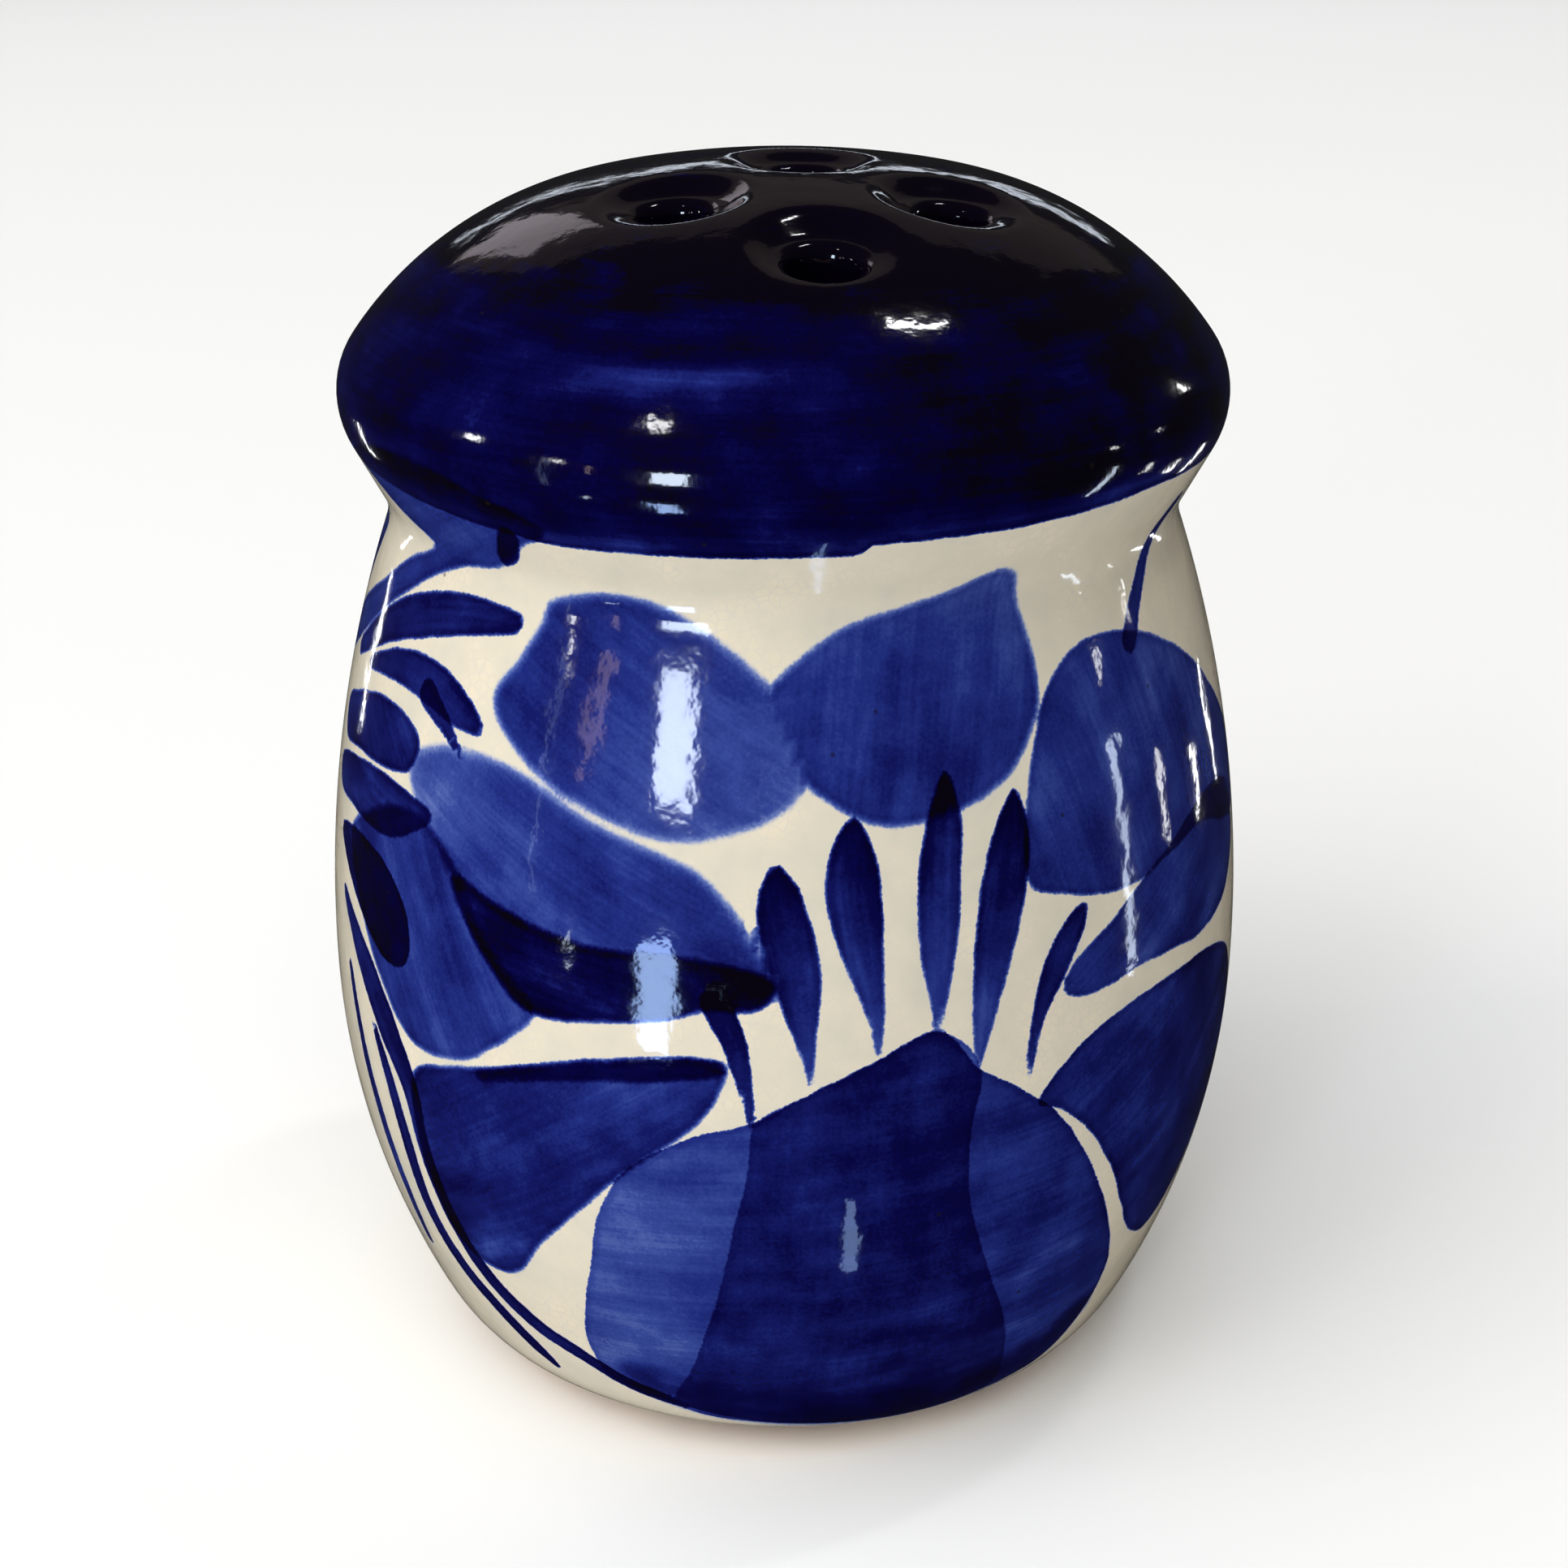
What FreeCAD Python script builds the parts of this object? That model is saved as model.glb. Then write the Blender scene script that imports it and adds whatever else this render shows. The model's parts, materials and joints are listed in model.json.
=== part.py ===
"""Domed pour-top shaker of painted tin-glazed earthenware, millimetres, +Z up.

One cast clay vessel with a mushroom top and four pour holes, the fired glaze on its outside,
and a soft plug that closes the filling hole in its recessed base. The origin is the centre of
the foot on the table, and the front faces -Y.
"""
import FreeCAD, Part
import math
import os

import Sketcher

V = FreeCAD.Vector

# a sketch's own names for the ends and centre of a curve, its origin and its vertical axis
START = 1
END = 2
CENTRE = 3
ORIGIN = -1
UPRIGHT = -2

DRIVING = [
    ("body_height", 107.6, "clay, from the table to the top of the dome"),
    ("belly_radius", 41.6, "clay, widest point"),
    ("belly_height", 37.0, "height of the widest point"),
    ("foot_inset", 17.1, "belly to the start of the foot's rounded edge"),
    ("foot_edge_radius", 11.3, "rounding from the foot into the belly"),
    ("neck_inset", 7.4, "belly to the waist under the dome"),
    ("neck_rise", 9.9, "waist to the widest point of the dome"),
    ("neck_fillet_radius", 4.6, "hollow of the waist"),
    ("rim_overhang", 3.7, "dome's rim beyond the waist"),
    ("rim_edge_radius", 6.7, "rounded rim of the dome"),
    ("dome_rise", 18.2, "rim of the dome to its top"),
    ("flank_angle", 36.0, "degrees above level at which the rim turns into the dome"),
    ("crown_edge_radius", 32.1, "dome between its rim and its nearly flat crown"),
    ("wall", 4.5, "clay wall"),
    ("base_thickness", 4.5, "clay floor above the recess"),
    ("cavity_corner_radius", 6.0, "inside corner between floor and wall"),
    ("flange_room", 2.5, "plug's flange to the wall of the recess"),
    ("table_clearance", 0.95, "finger bar above the table"),
    ("foot_lip_radius", 0.8, "worn inner edge of the foot ring"),
    ("fill_hole_diameter", 26.0, "filling hole in the base"),
    ("glaze_thickness", 0.4, "fired glaze"),
    ("glaze_line", 3.0, "height at which the glaze stops above the table"),
    ("pour_hole_diameter", 6.4, "hole in the clay"),
    ("pour_lining", 0.3, "glaze inside a pour hole"),
    ("pour_ring_radius", 11.2, "ring on which the holes are punched"),
    ("pour_ring_right", 2.3, "ring's centre, +X of the axis"),
    ("pour_ring_forward", 10.6, "ring's centre, -Y of the axis"),
    ("pour_ring_turn", 4.0, "degrees by which the ring is turned"),
    ("plug_seat_gap", 0.05, "plug's flange to the base"),
    ("plug_rib_clearance", 0.05, "rib to the filling hole, on the radius"),
    ("plug_flange_lap", 3.5, "flange beyond the filling hole"),
    ("plug_flange_thickness", 1.6, "flange and face plate"),
    ("plug_flange_fillet", 0.5, "moulded edge of the flange"),
    ("plug_reach", 3.5, "sleeve beyond the clay floor"),
    ("plug_wall", 1.6, "sleeve wall"),
    ("plug_rib_height", 0.3, "rib above the sleeve"),
    ("plug_rib_radius", 0.5, "section of a rib"),
    ("plug_rib_spacing", 1.8, "between the two ribs"),
    ("grip_length", 20.0, "finger bar under the plug"),
    ("grip_width", 3.0, "finger bar under the plug"),
    ("grip_height", 1.4, "finger bar under the plug"),
]
POUR_HOLES = 4

DERIVED = [
    ("rim_height", "=body_height - dome_rise"),
    ("neck_height", "=rim_height - neck_rise"),
    ("foot_radius", "=belly_radius - foot_inset"),
    ("neck_radius", "=belly_radius - neck_inset"),
    ("rim_radius", "=neck_radius + rim_overhang"),
    ("foot_to_belly", "=belly_height - foot_edge_radius"),
    ("lower_wall_radius", "=(foot_inset * foot_inset + foot_to_belly * foot_to_belly"
     " - foot_edge_radius * foot_edge_radius) / (2 * (foot_inset - foot_edge_radius))"),
    ("crown_edge_shift", "=(crown_edge_radius - rim_edge_radius) * cos(flank_angle * 1deg)"),
    ("flange_bottom", "=table_clearance + grip_height"),
    ("flange_top", "=flange_bottom + plug_flange_thickness"),
    ("recess_depth", "=flange_top + plug_seat_gap"),
    ("floor_height", "=recess_depth + base_thickness"),
    ("fill_hole_radius", "=fill_hole_diameter / 2"),
    ("flange_radius", "=fill_hole_radius + plug_flange_lap"),
    ("recess_radius", "=flange_radius + flange_room"),
    ("sleeve_radius", "=fill_hole_radius - plug_rib_clearance - plug_rib_height"),
    ("sleeve_bore", "=sleeve_radius - plug_wall"),
    ("sleeve_top", "=floor_height + plug_reach"),
    ("rib_circle", "=sleeve_radius + plug_rib_height - plug_rib_radius"),
    ("rib_low", "=recess_depth + (base_thickness - plug_rib_spacing) / 2"),
]

doc = FreeCAD.newDocument("shaker")
sheet = doc.addObject("Spreadsheet::Sheet", "sizes")


def fill_sheet():
    """Write the driving sizes as plain numbers and the derived ones as formulas."""
    row = 1
    for alias, value, meaning in DRIVING:
        sheet.set("A%d" % row, alias)
        sheet.set("B%d" % row, str(value))
        sheet.set("C%d" % row, meaning)
        sheet.setAlias("B%d" % row, alias)
        row += 1
    for alias, formula in DERIVED:
        sheet.set("A%d" % row, alias)
        sheet.set("B%d" % row, formula)
        sheet.setAlias("B%d" % row, alias)
        row += 1
    doc.recompute()


def size(alias):
    """The value of a cell, as a plain number."""
    return float(sheet.get(alias))


def new_body(name):
    body = doc.addObject("PartDesign::Body", name)
    body.Label = name
    return body


def new_sketch(body, name, role):
    """A sketch on one of the body's own origin planes."""
    plane = [item for item in body.Origin.OriginFeatures if item.Role == role][0]
    sketch = body.newObject("Sketcher::SketchObject", name)
    sketch.AttachmentSupport = [(plane, "")]
    sketch.MapMode = "FlatFace"
    return sketch


def line(sketch, x0, y0, x1, y1):
    return sketch.addGeometry(Part.LineSegment(V(x0, y0, 0), V(x1, y1, 0)), False)


def arc(sketch, centre, radius, start, end):
    circle = Part.Circle(V(centre[0], centre[1], 0), V(0, 0, 1), radius)
    return sketch.addGeometry(Part.ArcOfCircle(circle, start, end), False)


def join(sketch, kind, first, first_end, second, second_end):
    sketch.addConstraint(Sketcher.Constraint(kind, first, first_end, second, second_end))


def bind(sketch, kind, where, formula):
    """A dimension on the sketch that follows a formula of the sheet's cells."""
    if kind == "Radius":
        value = sketch.Geometry[where[0]].Radius
    else:
        if len(where) == 2:
            where = (ORIGIN, START) + where
        reach = sketch.getPoint(where[2], where[3]) - sketch.getPoint(where[0], where[1])
        value = reach.x if kind == "DistanceX" else reach.y
    index = sketch.addConstraint(Sketcher.Constraint(kind, *where, value))
    sketch.setExpression("Constraints[%d]" % index, formula)


def vessel_outline(sketch, bottom, offset=None, offset_sign=1):
    """Half-section of the vessel, offset from the clay's outside, closed along the axis.

    Every arc keeps the centre of the clay's own arc, so walls and glaze have one thickness all
    over. From the bottom: foot edge, lower wall, upper wall, hollow waist, the straight
    underside of the dome, its rim, the dome's flank and its crown, each tangent to the next.
    bottom is "foot" for the clay, "glaze" for a level cut at the glaze line and "floor" for
    the cavity, where a smaller corner takes the foot edge's place.
    """
    off = offset_sign * size(offset) if offset else 0.0
    plus = " %+d * sizes.%s" % (offset_sign, offset) if offset else ""
    minus = " %+d * sizes.%s" % (-offset_sign, offset) if offset else ""
    belly, belly_z = size("belly_radius"), size("belly_height")
    lower = size("lower_wall_radius")
    lower_centre = V(belly - lower, belly_z, 0)
    waist = size("neck_fillet_radius")
    waist_centre = V(size("neck_radius") + waist, size("neck_height"), 0)
    side, rise = waist_centre.x - belly, waist_centre.y - belly_z
    upper = (side ** 2 + rise ** 2 - waist ** 2) / (2 * (waist - side))
    upper_centre = V(belly - upper, belly_z, 0)
    rim = size("rim_edge_radius")
    rim_centre = V(size("rim_radius") - rim, size("rim_height"), 0)
    flank = math.radians(size("flank_angle"))
    edge = size("crown_edge_radius")
    edge_centre = rim_centre - V(math.cos(flank), math.sin(flank), 0) * (edge - rim)
    above = size("body_height") - edge_centre.y
    crown = (edge_centre.x ** 2 + above ** 2 - edge ** 2) / (2 * (above - edge))
    crown_centre = V(0, size("body_height") - crown, 0)

    def heading(start, end):
        return math.atan2(end.y - start.y, end.x - start.x)

    upper_end = heading(upper_centre, waist_centre)
    span = rim_centre - waist_centre
    lean = math.acos((waist + rim) / span.Length)
    waist_end = math.atan2(span.y, span.x) + lean
    edge_end = heading(crown_centre, edge_centre)
    if bottom == "floor":
        corner = size("cavity_corner_radius")
        level = size("floor_height")
        drop = level + corner - belly_z
        reach = math.sqrt((lower + off - corner) ** 2 - drop ** 2)
        corner_centre = V(lower_centre.x + reach, level + corner, 0)
    else:
        corner = size("foot_edge_radius") + off
        corner_centre = V(size("foot_radius"), size("foot_edge_radius"), 0)
        level = size("glaze_line") if bottom == "glaze" else 0.0
    begin = -math.pi / 2
    if bottom == "glaze":
        begin = math.asin((level - corner_centre.y) / corner)
    corner_end = heading(lower_centre, corner_centre)

    foot = arc(sketch, corner_centre, corner, begin, corner_end)
    low = arc(sketch, lower_centre, lower + off, corner_end, 0)
    high = arc(sketch, upper_centre, upper + off, 0, upper_end)
    neck = arc(sketch, waist_centre, waist - off, waist_end, upper_end + math.pi)
    under_start = sketch.getPoint(neck, START)
    under_turn = waist_end - math.pi
    under_end = rim_centre + V(math.cos(under_turn), math.sin(under_turn), 0) * (rim + off)
    under = line(sketch, under_start.x, under_start.y, under_end.x, under_end.y)
    lip = arc(sketch, rim_centre, rim + off, under_turn, flank)
    dome = arc(sketch, edge_centre, edge + off, flank, edge_end)
    top = arc(sketch, crown_centre, crown + off, edge_end, math.pi / 2)
    axis = line(sketch, 0, size("body_height") + off, 0, level)
    first = sketch.getPoint(foot, START)
    base = line(sketch, 0, level, first.x, first.y)

    join(sketch, "Tangent", foot, END, low, START)
    join(sketch, "Tangent", low, END, high, START)
    join(sketch, "Tangent", high, END, neck, END)
    join(sketch, "Tangent", neck, START, under, START)
    join(sketch, "Tangent", under, END, lip, START)
    join(sketch, "Tangent", lip, END, dome, START)
    join(sketch, "Tangent", dome, END, top, START)
    join(sketch, "Coincident", top, END, axis, START)
    join(sketch, "Coincident", axis, END, base, START)
    sketch.addConstraint(Sketcher.Constraint("Vertical", axis))
    sketch.addConstraint(Sketcher.Constraint("Horizontal", base))
    sketch.addConstraint(Sketcher.Constraint("PointOnObject", base, START, UPRIGHT))
    sketch.addConstraint(Sketcher.Constraint("PointOnObject", top, CENTRE, UPRIGHT))
    if bottom == "glaze":
        join(sketch, "Coincident", base, END, foot, START)
        bind(sketch, "DistanceY", (base, START), "sizes.glaze_line")
    else:
        join(sketch, "Tangent", base, END, foot, START)
    if bottom == "floor":
        bind(sketch, "Radius", (foot,), "sizes.cavity_corner_radius")
        bind(sketch, "Radius", (low,), "sizes.lower_wall_radius" + plus)
        bind(sketch, "DistanceY", (base, START), "sizes.floor_height")
    else:
        bind(sketch, "Radius", (foot,), "sizes.foot_edge_radius" + plus)
        bind(sketch, "DistanceX", (foot, CENTRE), "sizes.foot_radius")
        bind(sketch, "DistanceY", (foot, CENTRE), "sizes.foot_edge_radius")
    bind(sketch, "DistanceY", (low, CENTRE), "sizes.belly_height")
    bind(sketch, "DistanceX", (low, END), "sizes.belly_radius" + plus)
    bind(sketch, "DistanceY", (low, END), "sizes.belly_height")
    bind(sketch, "Radius", (neck,), "sizes.neck_fillet_radius" + minus)
    bind(sketch, "DistanceX", (neck, CENTRE), "sizes.neck_radius + sizes.neck_fillet_radius")
    bind(sketch, "DistanceY", (neck, CENTRE), "sizes.neck_height")
    bind(sketch, "Radius", (lip,), "sizes.rim_edge_radius" + plus)
    bind(sketch, "DistanceX", (lip, CENTRE), "sizes.rim_radius - sizes.rim_edge_radius")
    bind(sketch, "DistanceY", (lip, CENTRE), "sizes.rim_height")
    bind(sketch, "Radius", (dome,), "sizes.crown_edge_radius" + plus)
    bind(sketch, "DistanceX", (dome, CENTRE, lip, CENTRE), "sizes.crown_edge_shift")
    bind(sketch, "DistanceY", (top, END), "sizes.body_height" + plus)
    doc.recompute()


def turn(body, kind, name, sketch):
    """Revolve a half-section about the body's Z axis."""
    feature = body.newObject("PartDesign::" + kind, name)
    feature.Profile = sketch
    feature.ReferenceAxis = (sketch, ["V_Axis"])
    feature.Angle = 360.0
    sketch.Visibility = False
    doc.recompute()
    return feature


def cut_round(body, name, radius, depth):
    """A round pocket on the axis, from the table plane upwards."""
    sketch = new_sketch(body, name + "_outline", "XY_Plane")
    circle = sketch.addGeometry(Part.Circle(V(0, 0, 0), V(0, 0, 1), size(radius)), False)
    join(sketch, "Coincident", circle, CENTRE, ORIGIN, START)
    bind(sketch, "Radius", (circle,), "sizes." + radius)
    before = body.Shape.Volume
    pocket = body.newObject("PartDesign::Pocket", name)
    pocket.Profile = sketch
    pocket.Reversed = True
    pocket.setExpression("Length", depth)
    doc.recompute()
    if not body.Shape.Volume < before:
        raise RuntimeError(name + " cuts nothing")


def round_edge(body, name, radius, edge_radius, height):
    """Fillet the circular edge that has this radius at this height."""
    names = []
    for index, edge in enumerate(body.Shape.Edges):
        if edge.Degenerated or not isinstance(edge.Curve, Part.Circle):
            continue
        curve = edge.Curve
        if abs(curve.Radius - edge_radius) < 1e-4 and abs(curve.Center.z - height) < 1e-4:
            names.append("Edge%d" % (index + 1))
    base = body.Tip
    fillet = body.newObject("PartDesign::Fillet", name)
    fillet.Base = (base, names)
    fillet.setExpression("Radius", radius)
    doc.recompute()


def clay_blank():
    """The cast vessel before its pour holes are punched."""
    body = new_body("clay_blank")
    outside = new_sketch(body, "clay_outside", "XZ_Plane")
    vessel_outline(outside, "foot")
    turn(body, "Revolution", "clay_solid", outside)
    inside = new_sketch(body, "clay_inside", "XZ_Plane")
    vessel_outline(inside, "floor", "wall", -1)
    turn(body, "Groove", "clay_cavity", inside)
    cut_round(body, "foot_recess", "recess_radius", "sizes.recess_depth")
    cut_round(body, "fill_hole", "fill_hole_radius", "sizes.floor_height")
    round_edge(body, "foot_lip", "sizes.foot_lip_radius", size("recess_radius"), 0.0)
    return body


def glaze_skin():
    """The glaze over the outside of the clay, before the pour holes."""
    body = new_body("glaze_skin")
    outside = new_sketch(body, "glaze_outside", "XZ_Plane")
    vessel_outline(outside, "glaze", "glaze_thickness")
    turn(body, "Revolution", "glaze_solid", outside)
    inside = new_sketch(body, "glaze_inside", "XZ_Plane")
    vessel_outline(inside, "foot")
    turn(body, "Groove", "glaze_room_for_clay", inside)
    return body


def pour_punches(name, radius):
    """Four upright round punches through the dome, on a ring that is off the axis."""
    punches = []
    for number in range(POUR_HOLES):
        punch = doc.addObject("Part::Cylinder", "%s_%d" % (name, number + 1))
        punch.setExpression("Radius", radius)
        punch.setExpression("Height", "2 * sizes.dome_rise")
        angle = "(sizes.pour_ring_turn + %d) * 1deg" % (number * 360 // POUR_HOLES)
        ring = "sizes.pour_ring_radius * "
        punch.setExpression("Placement.Base.x", "sizes.pour_ring_right + " + ring + "cos(%s)" % angle)
        punch.setExpression("Placement.Base.y", ring + "sin(%s) - sizes.pour_ring_forward" % angle)
        punch.setExpression("Placement.Base.z", "sizes.rim_height")
        punches.append(punch)
    group = doc.addObject("Part::Compound", name)
    group.Links = punches
    doc.recompute()
    return group


def boolean(kind, name, base, tool):
    result = doc.addObject("Part::" + kind, name)
    result.Label = name
    result.Base = base
    result.Tool = tool
    doc.recompute()
    return result


def base_stopper():
    """Soft moulded plug: flange and face plate, hollow sleeve with two ribs, finger bar."""
    body = new_body("base_stopper")
    section = new_sketch(body, "plug_section", "XZ_Plane")
    corners = [
        ("zero", "flange_bottom"), ("flange_radius", "flange_bottom"),
        ("flange_radius", "flange_top"), ("sleeve_radius", "flange_top"),
        ("sleeve_radius", "sleeve_top"), ("sleeve_bore", "sleeve_top"),
        ("sleeve_bore", "flange_top"), ("zero", "flange_top"),
    ]
    points = [(0.0 if x == "zero" else size(x), size(z)) for x, z in corners]
    lines = []
    for index, point in enumerate(points):
        following = points[(index + 1) % len(points)]
        lines.append(line(section, *point, *following))
    for index, edge in enumerate(lines):
        join(section, "Coincident", edge, END, lines[(index + 1) % len(lines)], START)
    for edge, (x, z) in zip(lines, corners):
        if x == "zero":
            section.addConstraint(Sketcher.Constraint("PointOnObject", edge, START, UPRIGHT))
        else:
            bind(section, "DistanceX", (edge, START), "sizes." + x)
        bind(section, "DistanceY", (edge, START), "sizes." + z)
    turn(body, "Revolution", "plug_cup", section)

    ribs = new_sketch(body, "rib_sections", "XZ_Plane")
    for number in range(2):
        height = size("rib_low") + number * size("plug_rib_spacing")
        centre = V(size("rib_circle"), height, 0)
        rib = ribs.addGeometry(Part.Circle(centre, V(0, 0, 1), size("plug_rib_radius")), False)
        bind(ribs, "Radius", (rib,), "sizes.plug_rib_radius")
        bind(ribs, "DistanceX", (rib, CENTRE), "sizes.rib_circle")
        bind(ribs, "DistanceY", (rib, CENTRE), "sizes.rib_low + %d * sizes.plug_rib_spacing" % number)
    turn(body, "Revolution", "plug_ribs", ribs)
    round_edge(body, "flange_edge", "sizes.plug_flange_fillet", size("flange_radius"),
               size("flange_bottom"))

    grip = new_sketch(body, "grip_outline", "XY_Plane")
    grip.setExpression("AttachmentOffset.Base.z", "sizes.table_clearance")
    half_x, half_y = size("grip_length") / 2, size("grip_width") / 2
    ring = [(-half_x, -half_y), (half_x, -half_y), (half_x, half_y), (-half_x, half_y)]
    sides = [line(grip, *ring[i], *ring[(i + 1) % 4]) for i in range(4)]
    for index, side in enumerate(sides):
        join(grip, "Coincident", side, END, sides[(index + 1) % 4], START)
        kind = "Horizontal" if index % 2 == 0 else "Vertical"
        grip.addConstraint(Sketcher.Constraint(kind, side))
    middle = (sides[0], START, sides[2], START, ORIGIN, START)
    grip.addConstraint(Sketcher.Constraint("Symmetric", *middle))
    bind(grip, "DistanceX", (sides[0], START, sides[0], END), "sizes.grip_length")
    bind(grip, "DistanceY", (sides[1], START, sides[1], END), "sizes.grip_width")
    pad = body.newObject("PartDesign::Pad", "plug_grip")
    pad.Profile = grip
    pad.setExpression("Length", "sizes.grip_height")
    doc.recompute()
    return body


def checked(parts):
    """Stop unless every object of the document is sound and every part is one valid solid."""
    for item in doc.Objects:
        if "Invalid" in item.State or "Error" in item.State:
            raise RuntimeError("%s: %s" % (item.Name, item.State))
        if item.TypeId == "Sketcher::SketchObject" and not item.FullyConstrained:
            raise RuntimeError(item.Name + " is not fully constrained")
    for part in parts:
        shape = part.Shape
        if shape.isNull() or not shape.isValid() or len(shape.Solids) != 1:
            raise RuntimeError(part.Label + " is not one valid solid")
        print("%-13s %9.1f mm3  %s" % (part.Label, shape.Volume, shape.BoundBox))


def main():
    fill_sheet()
    blank = clay_blank()
    skin = glaze_skin()
    punches = pour_punches("clay_punches", "sizes.pour_hole_diameter / 2")
    bores = pour_punches("glaze_bores", "sizes.pour_hole_diameter / 2 - sizes.pour_lining")
    clay = boolean("Cut", "clay_body", blank, punches)
    linings = boolean("Common", "hole_linings", blank, punches)
    coated = boolean("Fuse", "skin_and_linings", skin, linings)
    glaze = boolean("Cut", "glaze_coat", coated, bores)
    stopper = base_stopper()
    parts = [clay, glaze, stopper]
    checked(parts)
    os.makedirs("parts", exist_ok=True)
    for part in parts:
        part.Shape.exportStep("parts/%s.step" % part.Label)


main()
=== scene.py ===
"""Looks of a painted pottery shaker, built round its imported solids. Metres, +Z up, front at -Y."""
import json
import math

import bpy
import numpy as np
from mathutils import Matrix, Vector
from mathutils.geometry import delaunay_2d_cdt


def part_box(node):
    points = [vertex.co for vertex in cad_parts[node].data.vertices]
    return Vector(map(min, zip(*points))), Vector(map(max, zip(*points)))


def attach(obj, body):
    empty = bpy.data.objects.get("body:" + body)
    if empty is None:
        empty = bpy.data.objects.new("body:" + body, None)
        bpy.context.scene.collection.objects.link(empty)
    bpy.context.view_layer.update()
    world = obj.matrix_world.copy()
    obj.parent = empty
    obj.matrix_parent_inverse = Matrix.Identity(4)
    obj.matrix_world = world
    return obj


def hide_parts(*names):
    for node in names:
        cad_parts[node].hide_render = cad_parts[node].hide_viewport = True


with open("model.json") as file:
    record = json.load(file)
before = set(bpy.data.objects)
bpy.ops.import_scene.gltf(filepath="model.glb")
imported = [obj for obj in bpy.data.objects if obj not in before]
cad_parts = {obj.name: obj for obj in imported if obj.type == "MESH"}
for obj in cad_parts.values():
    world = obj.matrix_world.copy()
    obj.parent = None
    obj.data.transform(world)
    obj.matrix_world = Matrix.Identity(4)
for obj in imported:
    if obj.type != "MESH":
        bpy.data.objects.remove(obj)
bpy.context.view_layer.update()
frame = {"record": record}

bl_info = {
    "name": "Painted Shaker",
    "version": (1, 0, 0),
    "blender": (4, 5, 0),
    "location": "View3D > Sidebar > Shaker",
    "description": "Domed shaker of brush-painted tin-glazed earthenware with a pull-out plug",
    "category": "Add Mesh",
}

MM = 0.001
GLAZE_LOW, GLAZE_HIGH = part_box("glaze_coat")
CLAY_LOW, CLAY_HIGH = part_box("clay_body")
PLUG_LOW, PLUG_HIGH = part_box("base_stopper")
OPENINGS = frame["record"]["physics"]["openings"]


def length(name, description, default):
    """A size in metres, shown in the scene's own units."""
    return bpy.props.FloatProperty(name=name, description=description, default=default,
                                   unit="LENGTH", subtype="DISTANCE", precision=5)


def paint(name, description, default):
    """A colour as six sRGB hex digits."""
    return bpy.props.StringProperty(name=name, description=description, default=default)


class VesselSizes(bpy.types.PropertyGroup):
    """Half-section of the clay, and the glaze on it."""
    belly_height: length("Belly height", "Height of the widest point", 0.0370)
    foot_inset: length("Foot inset", "Belly to the start of the foot's rounded edge", 0.0171)
    foot_edge: length("Foot edge", "Rounding from the foot into the belly", 0.0113)
    neck_inset: length("Neck inset", "Belly to the waist under the dome", 0.0074)
    neck_rise: length("Neck rise", "Waist to the widest point of the dome", 0.0099)
    neck_hollow: length("Neck hollow", "Hollow of the waist", 0.0046)
    rim_overhang: length("Rim overhang", "Dome's rim beyond the waist", 0.0037)
    rim_edge: length("Rim edge", "Rounded rim of the dome", 0.0067)
    dome_rise: length("Dome rise", "Rim of the dome to its top", 0.0182)
    flank_angle: bpy.props.FloatProperty(
        name="Flank angle", description="Above level, where the rim turns into the dome",
        default=math.radians(36.0), subtype="ANGLE", unit="ROTATION")
    crown_edge: length("Crown edge", "Dome between its rim and its flat crown", 0.0321)
    height: length("Clay height", "Table to the top of the clay", 0.1076)
    belly: length("Belly radius", "Widest point of the clay", 0.0416)
    wall: length("Wall", "Clay wall", 0.0045)
    glaze: length("Glaze", "Thickness of the fired glaze", 0.0004)
    recess: length("Recess radius", "Hollow under the foot ring", 0.0190)
    recess_depth: length("Recess depth", "Room for the plug above the table", 0.0040)
    floor: length("Inside floor", "Height of the inside floor", 0.0085)
    fill_hole: length("Filling hole", "Radius of the filling hole", 0.0130)
    pour_hole: length("Pour hole", "Radius of a pour hole in the clay", 0.0032)
    pour_lining: length("Pour lining", "Glaze inside a pour hole", 0.0003)
    dimple_depth: length("Dimple depth", "Soft hollow round a pour hole", 0.0013)
    dimple_level: bpy.props.FloatProperty(
        name="Dimple level", description="How far a dimple was pressed level", default=0.5,
        min=0.0, max=1.0, subtype="FACTOR")
    dimple_width: length("Dimple radius", "Reach of the soft hollow", 0.0070)
    lip: length("Lip", "Rounded edge of a pour hole", 0.0013)
    wobble: length("Wobble", "How far the hand-finished wall strays inwards", 0.00022)
    mesh_step: length("Mesh step", "Spacing of the glaze's mesh", 0.00078)


class GlazePaint(bpy.types.PropertyGroup):
    """Colours of the fired glaze and of the cobalt in it, from bare ground to thickest."""
    ground: paint("Ground", "Cream tin glaze", "E2D5BC")
    ground_cool: paint("Ground, cool", "Cream tin glaze where it is thin", "CFC8B6")
    haze: paint("Haze", "First trace of cobalt", "9AA3BE")
    thin: paint("Thin", "Thin cobalt wash", "5A6BA6")
    wash: paint("Wash", "Cobalt wash", "33448C")
    mid: paint("Middle", "Well charged cobalt wash", "1F2C76")
    deep: paint("Deep", "Two coats of cobalt", "12185C")
    dark: paint("Dark", "Loaded brush", "06053F")
    black: paint("Black", "Cobalt so thick that it fires nearly black", "02002C")
    crust: paint("Crust", "Thickest cobalt, brown-black", "05020C")
    speck: paint("Speck", "Iron in the clay, showing through", "1A1512")


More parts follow.
